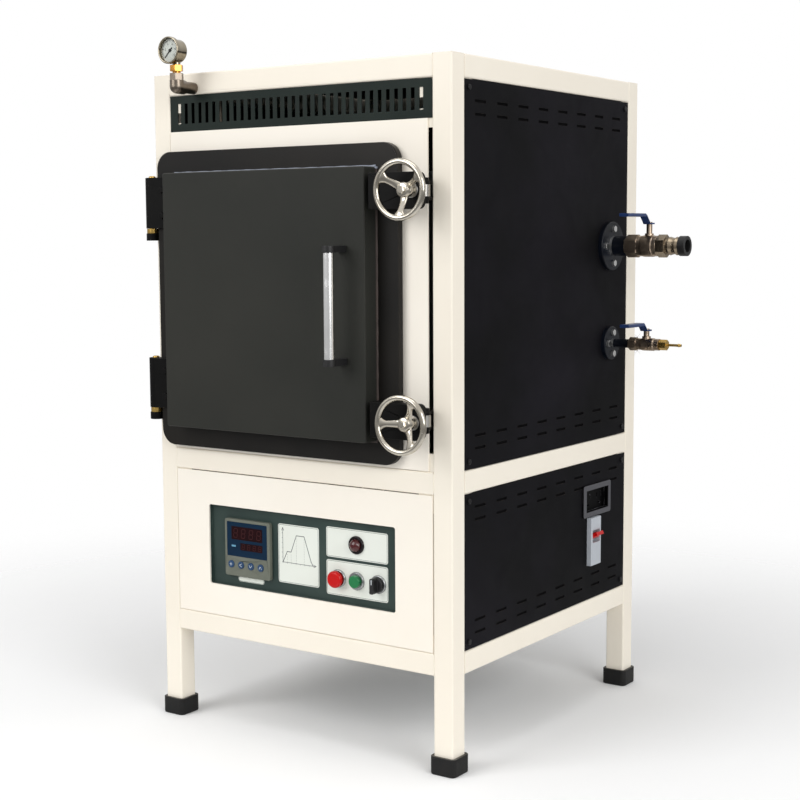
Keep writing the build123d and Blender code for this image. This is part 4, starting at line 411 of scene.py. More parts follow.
# The foot caps: soft black rubber cups, moulded in one piece each, that are pushed over the ends of the four
# legs. Their edges are scuffed grey.
rubber = coated_look("foot_rubber", tone(16, 16, 16), tone(30, 29, 28), 0.62, grain=1500.0, depth=0.0002,
                     specular=0.25, patch=18.0, contrast=0.6, wear=0.6, wear_colour=tone(62, 60, 57),
                     dust=0.25)
dress("foot_caps", rubber, 1.2)

# The charcoal panels on the sides, back and top: flat 1.5 mm sheet steel with rows of punched air slots, in
# a matt fine-textured powder coat, held by small black screws at their corners. The grille above the mouth
# of the furnace is of the same sheet in a greener shade.
charcoal_paint = coated_look("charcoal_powder_coat", tone(10, 10, 12), tone(24, 22, 29), 0.6, grain=1400.0,
                             depth=0.00016, specular=0.07, patch=4.5, contrast=0.75, spread=0.2, wear=0.35,
                             wear_colour=tone(92, 84, 76), dust=0.05, edge=0.0008)
grille_paint = coated_look("grille_powder_coat", tone(24, 33, 30), tone(36, 44, 40), 0.5, grain=1400.0,
                           depth=0.00012, specular=0.12, patch=9.0, contrast=0.6, wear=0.3,
                           wear_colour=tone(110, 112, 110), edge=0.0006)
black_zinc = coated_look("blackened_screws", tone(20, 20, 22), tone(44, 42, 42), 0.34, grain=2600.0,
                         depth=0.00005, metallic=0.6, specular=0.4, patch=60.0, wear=0.7,
                         wear_colour=tone(120, 116, 110), edge=0.0004)
for name in ("right_panels", "left_panels", "rear_panels", "top_cover"):
    dress(name, charcoal_paint)
dress("vent_grille", grille_paint)
dress("panel_screws", black_zinc, 0.35)

# The painted shade in the air slots: strips of matt near-black sheet on the insides of the side and rear
# panels, behind their rows of air slots, standing in for the shade inside the cabinet. They are 0.8 mm thick
# and a little longer than the rows.
slot_shade_look = coated_look("slot_shade_sheet", tone(9, 9, 10), tone(17, 16, 17), 0.95, grain=1100.0, depth=0.0005,
                   specular=0.03, patch=26.0, contrast=0.8)


def box_mesh(x, y, z):
    """Corners and faces of a plain box between two places along each axis."""
    rim = ((y[0], z[0]), (y[1], z[0]), (y[1], z[1]), (y[0], z[1]))
    vertices = [(place, *corner) for place in x for corner in rim]
    return vertices, [(3, 2, 1, 0), (4, 5, 6, 7), (0, 1, 5, 4), (1, 2, 6, 5), (2, 3, 7, 6), (3, 0, 4, 7)]


SHEET_BACK_X, SHEET_BACK_Y, SHADE_SHEET_THICK = 292.0, 302.0, 0.8
STRIP_LENGTH = (-246.0, 246.0)
STRIP_LEVELS = ((206.0, 237.0), (383.0, 431.9), (493.0, 524.0), (995.0, 1051.9))
# Near-black painted shade strips behind each row of air slots.
slot_shade_parts = []
for level in STRIP_LEVELS:
    slot_shade_parts.append(box_mesh((-SHEET_BACK_X, SHADE_SHEET_THICK - SHEET_BACK_X), STRIP_LENGTH, level))
    slot_shade_parts.append(box_mesh((SHEET_BACK_X - SHADE_SHEET_THICK, SHEET_BACK_X), STRIP_LENGTH, level))
    slot_shade_parts.append(box_mesh(STRIP_LENGTH, (SHEET_BACK_Y - SHADE_SHEET_THICK, SHEET_BACK_Y), level))
mesh_piece("slot_shade_strips", *joined(slot_shade_parts), slot_shade_look, "cabinet")

# The two cream front panels: thin sheet round the mouth of the furnace and round the control window, sprayed
# with the frame's paint in a slightly warmer batch.
front_paint = coated_look("front_panel_paint", tone(246, 240, 229), tone(240, 231, 216), 0.36, grain=800.0,
                          depth=0.00009, specular=0.4, patch=2.6, contrast=0.6, wear=0.2,
                          wear_colour=tone(206, 192, 172), edge=0.0008)
dress("upper_front_panel", front_paint)
dress("lower_front_panel", front_paint)

# The door: a thick black plate with a raised box of folded charcoal sheet welded on it, a fibre plug at the
# back, and hinges of black steel on pins with brass collars.
plate_paint = coated_look("door_plate_paint", tone(20, 19, 18), tone(34, 31, 27), 0.42, grain=1200.0,
                          depth=0.00014, specular=0.18, patch=5.0, contrast=0.7, spread=0.2, wear=0.55,
                          wear_colour=tone(128, 108, 88), dust=0.18, edge=0.0016)
box_paint = coated_look("door_box_paint", tone(40, 41, 38), tone(49, 49, 45), 0.46, grain=1300.0,
                        depth=0.00014, specular=0.14, patch=3.0, contrast=0.8, spread=0.16, smudges=0.06,
                        wear=0.5, wear_colour=tone(108, 116, 122), dust=0.25, edge=0.0014)
hinge_paint = coated_look("hinge_black", tone(6, 6, 6), tone(18, 17, 16), 0.45, grain=1500.0, depth=0.0001,
                          specular=0.1, patch=20.0, contrast=0.6, wear=0.6, wear_colour=tone(120, 112, 100),
                          edge=0.0009)
dress("door_plate", plate_paint, 1.2)
dress("door_box", box_paint, 1.0)
dress("door_hinges", hinge_paint, 0.6)
dress("hinge_brackets", hinge_paint, 0.6)


def spin_mesh(profile, centre, axis, steps):
    """Corners and faces of a turned body; the profile is pairs of distance along the axis and radius."""
    direction = Vector(axis).normalized()
    first = direction.orthogonal().normalized()
    second = direction.cross(first)
    vertices = []
    for along, radius in profile:
        for step in range(steps):
            angle = 2 * math.pi * step / steps
            spot = (Vector(centre) + direction * along + first * radius * math.cos(angle)
                    + second * radius * math.sin(angle))
            vertices.append(tuple(spot))
    return vertices, skin(len(profile), steps)


def zoned(look, axis, low, high, colour, metallic=None, roughness=None):
    """Recolours the stretch of a look that lies between two places along one axis, in metres."""
    tree = look.node_tree
    shade = tree.nodes["Principled BSDF"]
    where = add_node(tree, "ShaderNodeTexCoord")
    parts = add_node(tree, "ShaderNodeSeparateXYZ", {0: where.outputs["Object"]})
    above = worked_out(tree, "GREATER_THAN", parts.outputs[axis], low)
    below = worked_out(tree, "LESS_THAN", parts.outputs[axis], high)
    inside = worked_out(tree, "MULTIPLY", above, below)
    for label, value in (("Base Color", colour), ("Metallic", metallic), ("Roughness", roughness)):
        if value is None:
            continue
        socket = shade.inputs[label]
        kind = "RGBA" if label == "Base Color" else "FLOAT"
        start, stop, out = (6, 7, 2) if kind == "RGBA" else (2, 3, 0)
        mixed = add_node(tree, "ShaderNodeMix", {0: inside, stop: value}, data_type=kind)
        if socket.is_linked:
            tree.links.new(socket.links[0].from_socket, mixed.inputs[start])
        else:
            mixed.inputs[start].default_value = socket.default_value
        tree.links.new(mixed.outputs[out], socket)


brass = coated_look("brass", tone(196, 164, 92), tone(168, 132, 70), 0.28, grain=2200.0, depth=0.00004,
                    metallic=1.0, patch=30.0, contrast=0.6, spread=0.2, smudges=0.1)
dress("hinge_pins", brass, 0.4)

# The seam round the foot of the door box: a bead of sealing compound over the weld, smoothed by hand. It is
# brownish, with a pale blue-grey painted highlight along the top run.
sealant = coated_look("seam_compound", tone(70, 60, 56), tone(54, 48, 46), 0.55, grain=500.0, depth=0.0004,
                      specular=0.3, patch=40.0, contrast=0.7)
BOX_LEFT, BOX_RIGHT, BOX_LOW, BOX_HIGH = -238.5, 168.5, 509.5, 924.5
SEAM_Y, SEAM_RADIUS, SEAM_RIPPLE, SEAM_SHAKE = -319.0, 2.6, 0.25, 0.15
SEAM_STEPS, SEAM_WAVE = 90, 0.9
SEAM_TOP_HIGHLIGHT = (0.9215, 0.93)
# Painted highlight: the top run of the seam is coloured pale blue-grey.
zoned(sealant, "Z", *SEAM_TOP_HIGHLIGHT, tone(136, 142, 154))
seam_parts = []
seam_corners = [(BOX_LEFT, BOX_LOW), (BOX_RIGHT, BOX_LOW), (BOX_RIGHT, BOX_HIGH), (BOX_LEFT, BOX_HIGH)]
for index, (x0, z0) in enumerate(seam_corners):
    x1, z1 = seam_corners[(index + 1) % 4]
    shake = random.Random(index)
    points = [(x0 + (x1 - x0) * step / SEAM_STEPS, SEAM_Y, z0 + (z1 - z0) * step / SEAM_STEPS)
              for step in range(SEAM_STEPS + 1)]
    radii = [SEAM_RADIUS + SEAM_RIPPLE * math.sin(step * SEAM_WAVE + index)
             + shake.uniform(-SEAM_SHAKE, SEAM_SHAKE) for step in range(SEAM_STEPS + 1)]
    seam_parts.append(tube_mesh(points, radii, sides=10))
mesh_piece("door_box_seam", *joined(seam_parts), sealant, "door", 60)

# The door handle: a round bar of polished chromed steel, held at its ends by two black moulded arms that
# stand on the door box.
chrome = coated_look("bright_chrome", tone(250, 250, 250), tone(236, 236, 234), 0.2, grain=1800.0,
                     depth=0.00001, metallic=1.0, patch=24.0, spread=0.1, smudges=0.12)
black_plastic = coated_look("black_moulding", tone(24, 24, 25), tone(32, 32, 33), 0.42, grain=2200.0,
                            depth=0.0001, specular=0.4, patch=16.0, wear=0.3, wear_colour=tone(84, 84, 84),
                            edge=0.0007)
dress("handle_bar", chrome, 0.8)
dress("handle_mounts", black_plastic, 0.4)

# The two clamps: black ears on the post with a swivelling steel nut between them, a black bored lug on the
# door, a turned thrust collar, and a threaded spindle in a cast and chromed hand wheel with three wide
# spokes, which is fixed to it by a cap nut.
steel = coated_look("turned_steel", tone(188, 186, 182), tone(150, 146, 140), 0.3, grain=1800.0,
                    depth=0.00004, metallic=1.0, patch=26.0, contrast=0.7, spread=0.3, smudges=0.1)
dress("clamp_brackets", hinge_paint, 0.5)
dress("clamp_nuts", steel, 0.4)
dress("clamp_lugs", hinge_paint, 0.8)
dress("upper_collar", steel, 0.3)
dress("lower_collar", steel, 0.3)

CLAMP_X, HUB_BACK, HUB_FRONT = 256.0, -355.3, -378.3
RIM_Y, RIM_CENTRE, RIM_THICK = -384.8, 40.5, 4.5
HUB_PROFILE = ((0, 8.6), (0.8, 9.6), (6, 9.6), (8, 10.4), (14, 11.0), (20.5, 11.0), (22.2, 10.2), (23, 8.8))
NUT_PROFILE, NUT_GAP = ((0, 6.2), (3.6, 6.2), (4.6, 5.2)), 0.3
SPOKE_START, SPOKE_END, SPOKE_Y = 8.0, RIM_CENTRE - 1.2, -371.5
SPOKE_WIDE, SPOKE_THICK, ROOT_WIDER, ROOT_THICKER = 4.6, 2.5, 2.4, 0.7
FLARE_START, FLARE_WIDER, FLARE_REACH = 0.62, 9.0, RIM_CENTRE - 1.0
THREAD_CORE, THREAD_DEPTH, THREAD_PITCH, THREAD_ROWS = 4.35, 0.6, 1.5, 6
SHANK_LENGTH, SHANK_RADIUS, SPINDLE_TIP = 16.0, 4.95, 4.0


def wheel_rim(height):
    """The round rim of a hand wheel whose axis is at a height."""
    around, section = 96, 20
    vertices, polygons = [], []
    for step in range(around):
        angle = 2 * math.pi * step / around
        following = (step + 1) % around
        for corner in range(section):
            beside = (corner + 1) % section
            tilt = 2 * math.pi * corner / section
            reach = RIM_CENTRE + RIM_THICK * math.cos(tilt)
            vertices.append((CLAMP_X + reach * math.cos(angle), RIM_Y + RIM_THICK * math.sin(tilt),
                             height + reach * math.sin(angle)))
            polygons.append((step * section + corner, following * section + corner,
                             following * section + beside, step * section + beside))
    return vertices, polygons


def wheel_spoke(height, turned):
    """One spoke: thick at the hub, bent forward to the rim, and flared where it runs into it."""
    angle = math.radians(turned)
    outward = Vector((math.cos(angle), 0, math.sin(angle)))
    sideways = Vector((-math.sin(angle), 0, math.cos(angle)))
    vertices = []
    rows, section = 22, 16
    for row in range(rows + 1):
        share = row / rows
        reach = SPOKE_START + (SPOKE_END - SPOKE_START) * share
        flare = FLARE_WIDER * max(0.0, share - FLARE_START) ** 1.6 / (1 - FLARE_START) ** 1.6
        half_width = SPOKE_WIDE + ROOT_WIDER * (1 - share) ** 3 + flare
        thick = SPOKE_THICK + ROOT_THICKER * (1 - share)
        rise = share * share * (3 - 2 * share)
        depth = SPOKE_Y + (RIM_Y - SPOKE_Y) * rise
        for corner in range(section):
            tilt = 2 * math.pi * corner / section
            wide = half_width * math.copysign(abs(math.cos(tilt)) ** 0.75, math.cos(tilt))
            spot = Vector((CLAMP_X, depth + thick * math.sin(tilt), height)) + outward * reach
            spot = spot + sideways * wide
            level_x, level_z = spot.x - CLAMP_X, spot.z - height
            beyond = math.hypot(level_x, level_z)
            if share > 0.6 and beyond > FLARE_REACH:
                pull = FLARE_REACH / beyond
                spot.x, spot.z = CLAMP_X + level_x * pull, height + level_z * pull
            vertices.append(tuple(spot))
    return vertices, skin(rows + 1, section)


def wheel_spindle(height, end):
    """The spindle from the hub to its end: a plain shank in the lug, then the thread."""
    vertices, polygons = [], []
    rows, steps = int((end - HUB_BACK) * THREAD_ROWS), 24
    for row in range(rows + 1):
        along = HUB_BACK + (end - HUB_BACK) * row / rows
        for step in range(steps):
            angle = 2 * math.pi * step / steps
            phase = (along / THREAD_PITCH + step / steps) % 1.0
            if row == rows:
                radius = SPINDLE_TIP
            elif along > HUB_BACK + SHANK_LENGTH:
                radius = THREAD_CORE + THREAD_DEPTH * (1 - abs(2 * phase - 1))
            else:
                radius = SHANK_RADIUS
            vertices.append((CLAMP_X + radius * math.cos(angle), along, height + radius * math.sin(angle)))
    for row in range(rows):
        for step in range(steps):
            following = (step + 1) % steps
            polygons.append((row * steps + step, (row + 1) * steps + step,
                             (row + 1) * steps + following, row * steps + following))
    polygons.append(tuple(rows * steps + step for step in range(steps))[::-1])
    return vertices, polygons


def hand_wheel(name, height, first_angle, body, replaced):
    """Rim, three spokes, hub, cap nut and spindle as one chromed piece."""
    parts = [wheel_rim(height)]
    parts += [wheel_spoke(height, first_angle + 120 * spoke) for spoke in range(3)]
    parts.append(spin_mesh(HUB_PROFILE, (CLAMP_X, HUB_BACK, height), (0, -1, 0), 64))
    parts.append(spin_mesh(NUT_PROFILE, (CLAMP_X, HUB_FRONT + NUT_GAP, height), (0, -1, 0), 6))
    low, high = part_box(replaced)
    parts.append(wheel_spindle(height, high.y * 1000))
    wheel = mesh_piece(name, *joined(parts), wheel_chrome, body, 40)
    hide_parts(replaced)


wheel_chrome = coated_look("cast_chrome", tone(198, 192, 180), tone(160, 152, 138), 0.14, grain=700.0,
                           depth=0.00005, metallic=1.0, patch=30.0, contrast=0.6, spread=0.16, smudges=0.14)
UPPER_CLAMP_Z, LOWER_CLAMP_Z = 887.0, 547.0
hand_wheel("upper_hand_wheel_casting", UPPER_CLAMP_Z, 30.0, "upper_hand_wheel", "upper_wheel")
hand_wheel("lower_hand_wheel_casting", LOWER_CLAMP_Z, 60.0, "lower_hand_wheel", "lower_wheel")

# The vacuum vessel and what is in it: a welded steel box with a machined flange and a rubber seal, ceramic
# fibre boards, a ceramic hearth, alloy heating elements on ceramic holders and a probe in a ceramic tube.
# The shelves, the breaker's rail and the power unit under it are in the colour of zinc-plated sheet.
vessel_paint = coated_look("vessel_primer", tone(104, 108, 110), tone(88, 90, 92), 0.5, depth=0.00015,
                           specular=0.3, patch=5.0, contrast=0.7, wear=0.5, dust=0.2)
fibre_board = coated_look("fibre_board", tone(226, 222, 212), tone(206, 198, 184), 0.95, grain=240.0,
                          depth=0.0009, specular=0.1, patch=14.0, contrast=0.7, spread=0.05)
hearth_ceramic = coated_look("hearth_ceramic", tone(216, 206, 186), tone(180, 164, 140), 0.75,
                             depth=0.0004, specular=0.25, patch=30.0, contrast=0.8)
element_alloy = coated_look("oxidised_alloy", tone(86, 82, 78), tone(122, 112, 100), 0.6, grain=1600.0,
                            depth=0.0003, metallic=0.7, patch=60.0, contrast=0.9)
seal_rubber = coated_look("seal_rubber", tone(28, 22, 20), tone(44, 34, 30), 0.5, grain=1600.0, depth=0.0001,
                          specular=0.35, patch=30.0)
zinc_sheet = coated_look("zinc_sheet", tone(150, 154, 156), tone(122, 126, 130), 0.42, grain=300.0,
                         depth=0.00005, metallic=0.9, patch=70.0, contrast=0.9, spread=0.3)
dress("vacuum_vessel", vessel_paint, 0.6)
dress("vessel_seal", seal_rubber)
dress("fibre_lining", fibre_board, 1.0)
dress("door_plug", fibre_board, 1.5)
dress("hearth_plate", hearth_ceramic, 1.0)
dress("heating_elements", element_alloy)
dress("thermocouple", hearth_ceramic, 0.4)
dress("bay_shelves", zinc_sheet)
dress("din_rail", zinc_sheet, 0.2)
dress("power_unit", zinc_sheet, 0.4)

# The control tray: sunken dark green sheet with printed plates stuck on it for the heating chart, the lamp
# and the buttons. The plates are thin satin foil with rounded corners; their marks are plain lines.
tray_paint = coated_look("tray_paint", tone(40, 55, 52), tone(58, 74, 68), 0.42, grain=1200.0, depth=0.0001,
                         specular=0.3, patch=10.0, contrast=0.6, wear=0.6, wear_colour=tone(128, 144, 138),
                         edge=0.0012)
dress("control_tray", tray_paint, 0.4)
foil = coated_look("printed_foil", tone(228, 232, 224), tone(220, 223, 213), 0.34, grain=1500.0,
                   depth=0.00004, specular=0.4, patch=12.0, smudges=0.08)
ink = coated_look("plate_ink", tone(70, 74, 78), tone(92, 94, 96), 0.5, grain=1500.0, depth=0.00002,
                  specular=0.3, patch=90.0)
dark_ink = coated_look("plate_border_ink", tone(30, 66, 62), tone(40, 78, 72), 0.5, grain=1500.0,
                       depth=0.00002, specular=0.3, patch=60.0)
TRAY_Y, FOIL_THICK, PRINT_SUNK = -297.0, 0.35, 0.34
PRINT_Y = TRAY_Y - PRINT_SUNK


def rounded_outline(x0, x1, z0, z1, corner):
    """The outline of a rectangle with rounded corners, as x and z."""
    outline = []
    steps = 8
    centres = [(x1 - corner, z0 + corner, -90), (x1 - corner, z1 - corner, 0),
               (x0 + corner, z1 - corner, 90), (x0 + corner, z0 + corner, 180)]
    for middle_x, middle_z, start in centres:
        for step in range(steps + 1):
            angle = math.radians(start + 90 * step / steps)
            outline.append((middle_x + corner * math.cos(angle), middle_z + corner * math.sin(angle)))
    return outline


def plate_mesh(outline, back, front, bevel=0.12):
    """A flat plate facing forward, with a small chamfer round its front."""
    middle_x = sum(x for x, z in outline) / len(outline)
    middle_z = sum(z for x, z in outline) / len(outline)
    vertices = [(x, back, z) for x, z in outline]
    vertices += [(x, front + bevel, z) for x, z in outline]
    for x, z in outline:
        reach = math.hypot(x - middle_x, z - middle_z)
        share = 1 - bevel / reach if reach > bevel else 1
        vertices.append((middle_x + (x - middle_x) * share, front, middle_z + (z - middle_z) * share))
    return vertices, skin(3, len(outline))


LINE_LAP = 0.3


def line_mesh(points, width, y, thickness=0.06, closed=False):
    """A printed line of one width through points given as x and z."""
    parts = []
    pairs = list(zip(points, points[1:]))
    if closed:
        pairs.append((points[-1], points[0]))
    for (x0, z0), (x1, z1) in pairs:
        length = math.hypot(x1 - x0, z1 - z0)
        if length < 1e-6:
            continue
        along_x, along_z = (x1 - x0) / length, (z1 - z0) / length
        side_x, side_z = -along_z * width / 2, along_x * width / 2
        lap_x, lap_z = along_x * width * LINE_LAP, along_z * width * LINE_LAP
        outline = [(x0 - lap_x + side_x, z0 - lap_z + side_z), (x0 - lap_x - side_x, z0 - lap_z - side_z),
                   (x1 + lap_x - side_x, z1 + lap_z - side_z), (x1 + lap_x + side_x, z1 + lap_z + side_z)]
        parts.append(plate_mesh(outline, y, y - thickness, 0.01))
    return joined(parts)


def foil_plate(name, x0, x1, z0, z1, border=1.6):
    """One stuck-on plate with a printed border line."""
    sheet = plate_mesh(rounded_outline(x0, x1, z0, z1, 4.0), TRAY_Y, TRAY_Y - FOIL_THICK)
    mesh_piece(name, *sheet, foil, "cabinet")
    inner = rounded_outline(x0 + border, x1 - border, z0 + border, z1 - border, 3.0)
    line = line_mesh(inner, 0.5, PRINT_Y, closed=True)
    mesh_piece(name + "_border", *line, dark_ink, "cabinet")


foil_plate("chart_plate", -47.5, 36.0, 260.0, 357.0)
foil_plate("lamp_plate", 51.0, 171.0, 314.0, 362.5)
foil_plate("button_plate", 51.0, 171.0, 253.0, 309.5)
foil_plate("strip_plate", -133.8, -78.7, 250.3, 259.2, 0.9)

TIME_AXIS_Z, HEAT_AXIS_X, ARROW_HALF = 294.0, -38.0, 2.2
AXIS_LINE, CURVE_LINE, MARK_LINE, DASH_LINE = 0.8, 1.1, 0.5, 0.35
HEAT_STEPS = ((-29, 312), (-21, 312), (-10, 340), (6, 340))
printed_lines = [
    (AXIS_LINE, [(HEAT_AXIS_X, 350), (HEAT_AXIS_X, TIME_AXIS_Z), (29, TIME_AXIS_Z)]),
    (AXIS_LINE, [(HEAT_AXIS_X - ARROW_HALF, 346), (HEAT_AXIS_X, 351), (HEAT_AXIS_X + ARROW_HALF, 346)]),
    (AXIS_LINE, [(25, TIME_AXIS_Z - ARROW_HALF), (30, TIME_AXIS_Z), (25, TIME_AXIS_Z + ARROW_HALF)]),
    (CURVE_LINE, [(HEAT_AXIS_X, TIME_AXIS_Z), *HEAT_STEPS, (20, 300), (24, TIME_AXIS_Z)]),
]
for mark in range(7):
    x, z = HEAT_AXIS_X + 9 * mark, TIME_AXIS_Z + 8 * mark
    printed_lines.append((MARK_LINE, [(x, TIME_AXIS_Z), (x, TIME_AXIS_Z - 2)]))
    printed_lines.append((MARK_LINE, [(HEAT_AXIS_X, z), (HEAT_AXIS_X - 2, z)]))
for x, top in HEAT_STEPS:
    for dash in range(int((top - TIME_AXIS_Z) / 4)):
        foot = TIME_AXIS_Z + 4 * dash
        printed_lines.append((DASH_LINE, [(x, foot), (x, foot + 2)]))
chart_parts = [line_mesh(points, width, PRINT_Y) for width, points in printed_lines]
mesh_piece("chart_lines", *joined(chart_parts), ink, "cabinet")

# The temperature controller: a grey moulded case with a dark blue window, two rows of unlit red figures and
# four round blue keys.
controller_grey = coated_look("controller_grey", tone(100, 104, 93), tone(112, 115, 105), 0.46, grain=1800.0,
                              depth=0.0001, specular=0.35, patch=20.0, wear=0.3,
                              wear_colour=tone(160, 160, 152), edge=0.0007)
window_blue = coated_look("window_blue", tone(6, 34, 56), tone(8, 40, 66), 0.16, depth=0.00001,
                          specular=0.22, patch=20.0, smudges=0.12)
window_red = coated_look("window_red", tone(28, 6, 10), tone(38, 9, 12), 0.18, depth=0.00001,
                         specular=0.15, patch=60.0)
figure_red = coated_look("figure_red", tone(48, 11, 14), tone(58, 14, 17), 0.4, depth=0.00001,
                         specular=0.2, patch=200.0)
key_blue = coated_look("key_blue", tone(28, 60, 96), tone(38, 74, 112), 0.4, grain=2000.0, depth=0.00006,
                       specular=0.4, patch=60.0, wear=0.4, wear_colour=tone(150, 168, 186), edge=0.0006)
dress("controller_case", controller_grey, 0.5)
for number in range(1, 5):
    dress(f"controller_key_{number}", key_blue, 0.5)

CONTROLLER_X, CONTROLLER_Z = -108.5, 307.8
case_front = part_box("controller_case")[0].y * 1000
screen_y = case_front + 0.8


def controller_pane(x0, x1, z0, z1, corner, back, front, bevel):
    """A flat pane, placed from the controller's middle and the plane of its screen."""
    outline = rounded_outline(CONTROLLER_X + x0, CONTROLLER_X + x1, CONTROLLER_Z + z0, CONTROLLER_Z + z1,
                              corner)
    return plate_mesh(outline, screen_y - back, screen_y - front, bevel)


screen = controller_pane(-42.8, 42.8, -14.3, 43.3, 1.0, -0.3, 0.35, 0.12)
mesh_piece("controller_window", *screen, window_blue, "cabinet")
SEGMENTS = (((0.12, 1.0), (0.88, 1.0)), ((0.12, 0.5), (0.88, 0.5)), ((0.12, 0.0), (0.88, 0.0)),
            ((0.04, 0.58), (0.04, 0.92)), ((0.96, 0.58), (0.96, 0.92)),
            ((0.04, 0.08), (0.04, 0.42)), ((0.96, 0.08), (0.96, 0.42)))
FIGURE_HEIGHT, FIGURE_WIDTH, FIGURE_SLANT, STROKE_WIDTH = 0.66, 0.5, 0.1, 0.17
figure_parts = []
for row, (x0, x1, z0, z1) in enumerate(((-33, 33, 14, 36), (-14, 33, -3, 9))):
    pane = controller_pane(x0, x1, z0, z1, 0.8, 0.34, 0.5, 0.05)
    mesh_piece(f"controller_figures_window_{row + 1}", *pane, window_red, "cabinet")
    pitch = (x1 - x0) / 4
    tall = (z1 - z0) * FIGURE_HEIGHT
    wide = pitch * FIGURE_WIDTH
    for digit in range(4):
        left = CONTROLLER_X + x0 + pitch * digit + (pitch - wide) / 2
        foot = CONTROLLER_Z + z0 + (z1 - z0 - tall) / 2
        for ends in SEGMENTS:
            run = [(left + wide * u + tall * v * FIGURE_SLANT, foot + tall * v) for u, v in ends]
            figure_parts.append(line_mesh(run, wide * STROKE_WIDTH, screen_y - 0.49, 0.04))
mesh_piece("controller_figures", *joined(figure_parts), figure_red, "cabinet")
indicator = controller_pane(-33, -24, 1.5, 4.5, 0.6, 0.34, 0.45, 0.04)
pale_blue = coated_look("indicator_blue", tone(96, 150, 178), tone(110, 160, 186), 0.3, depth=0.00001,
                        specular=0.3, patch=100.0)
mesh_piece("controller_indicator", *indicator, pale_blue, "cabinet")

key_ink = coated_look("key_ink", tone(214, 222, 228), tone(226, 232, 236), 0.5, depth=0.00001,
                      specular=0.3, patch=100.0)
KEY_LINE, PRINT_LAP = 0.7, 0.03
KEY_MARKS = {
    1: [[(-2.6, 0), (2.6, 0)], [(0, -2.6), (0, 2.6)]],
    2: [[(2.0, 2.6), (-2.4, 0), (2.0, -2.6)]],
    3: [[(-2.6, 1.8), (0, -2.2), (2.6, 1.8)]],
    4: [[(-2.6, -1.8), (0, 2.2), (2.6, -1.8)]],
}
for number, strokes in KEY_MARKS.items():
    low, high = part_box(f"controller_key_{number}")
    middle_x, middle_z = (low.x + high.x) * 500, (low.z + high.z) * 500
    parts = [line_mesh([(middle_x + x, middle_z + z) for x, z in stroke], KEY_LINE,
                       low.y * 1000 + PRINT_LAP, 0.05) for stroke in strokes]
    mesh_piece(f"key_mark_{number}", *joined(parts), key_ink, f"key_{number}")

# The operators beside the chart: a red signal lamp with a cut-glass dome, a red mushroom stop button, a green
# start button and a black selector, all of moulded plastic but the dome. The rings that screw them to the
# tray are bright metal, and dark round the lamp.
ring_metal = coated_look("ring_metal", tone(170, 172, 172), tone(120, 122, 124), 0.25, grain=2000.0,
                         depth=0.00004, metallic=1.0, patch=40.0, contrast=0.6)
LAMP_ROW = (0.314, 0.364)
zoned(ring_metal, "Z", *LAMP_ROW, tone(52, 48, 50))
lens_glass = coated_look("lamp_glass", tone(74, 4, 8), tone(48, 3, 6), 0.14, grain=300.0, depth=0.00002,
                         specular=0.4, patch=30.0, coat=0.5)
red_plastic = coated_look("red_moulding", tone(192, 2, 2), tone(172, 2, 2), 0.3, grain=2200.0,
                          depth=0.00006, specular=0.25, patch=30.0, smudges=0.1, coat=0.1)
green_plastic = coated_look("green_moulding", tone(6, 116, 62), tone(4, 98, 52), 0.3, grain=2200.0,
                            depth=0.00006, specular=0.45, patch=30.0, smudges=0.1, coat=0.2)
dress("operator_bezels", ring_metal, 0.3)
dress("stop_button", red_plastic, 0.4)
dress("start_button", green_plastic, 0.8)
dress("selector_knob", black_plastic, 0.8)

low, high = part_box("lamp_lens")
lens_x, lens_z = (low.x + high.x) * 500, (low.z + high.z) * 500
lens_radius = (high.x - low.x) * 500
lens_front, lens_back = low.y * 1000, high.y * 1000
DOME_ROWS, DOME_SIDES, DOME_TILT, DOME_HEIGHT = 7, 14, math.radians(74), 8.0
SKIRT_TAPER, SKIRT_LAP = 0.7, 0.2
dome_height = min(DOME_HEIGHT, lens_back - lens_front)
vertices, polygons = [], []
for row in range(DOME_ROWS):
    tilt = DOME_TILT * row / (DOME_ROWS - 1)
    radius = lens_radius * math.cos(tilt)
    depth = lens_front + dome_height * (1 - math.sin(tilt) / math.sin(DOME_TILT))
    for side in range(DOME_SIDES):
        around = 2 * math.pi * (side + 0.5 * (row % 2)) / DOME_SIDES
        vertices.append((lens_x + radius * math.cos(around), depth, lens_z + radius * math.sin(around)))
for row in range(DOME_ROWS - 1):
    for side in range(DOME_SIDES):
        following = (side + 1) % DOME_SIDES
        here, beside = row * DOME_SIDES + side, row * DOME_SIDES + following
        over, across = (row + 1) * DOME_SIDES + side, (row + 1) * DOME_SIDES + following
        if row % 2 == 0:
            polygons.extend([(here, beside, over), (beside, across, over)])
        else:
            polygons.extend([(here, across, over), (here, beside, across)])
polygons.append(tuple((DOME_ROWS - 1) * DOME_SIDES + side for side in range(DOME_SIDES)))
skirt_height = lens_back - lens_front - dome_height + SKIRT_LAP
skirt = spin_mesh([(0, lens_radius * SKIRT_TAPER), (skirt_height, lens_radius)],
                  (lens_x, lens_back, lens_z), (0, -1, 0), DOME_SIDES * 2)
lamp_dome = mesh_piece("lamp_dome", *joined([(vertices, polygons), skirt]), lens_glass, "cabinet", 5)
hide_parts("lamp_lens")

low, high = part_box("selector_knob")
knob_x, knob_z = (low.x + high.x) * 500, (low.z + high.z) * 500
pointer_line = line_mesh([(knob_x, knob_z + 3), (knob_x, high.z * 1000 - 2)], 1.2,
                         low.y * 1000 + PRINT_LAP)
mesh_piece("selector_line", *pointer_line, key_ink, "selector")

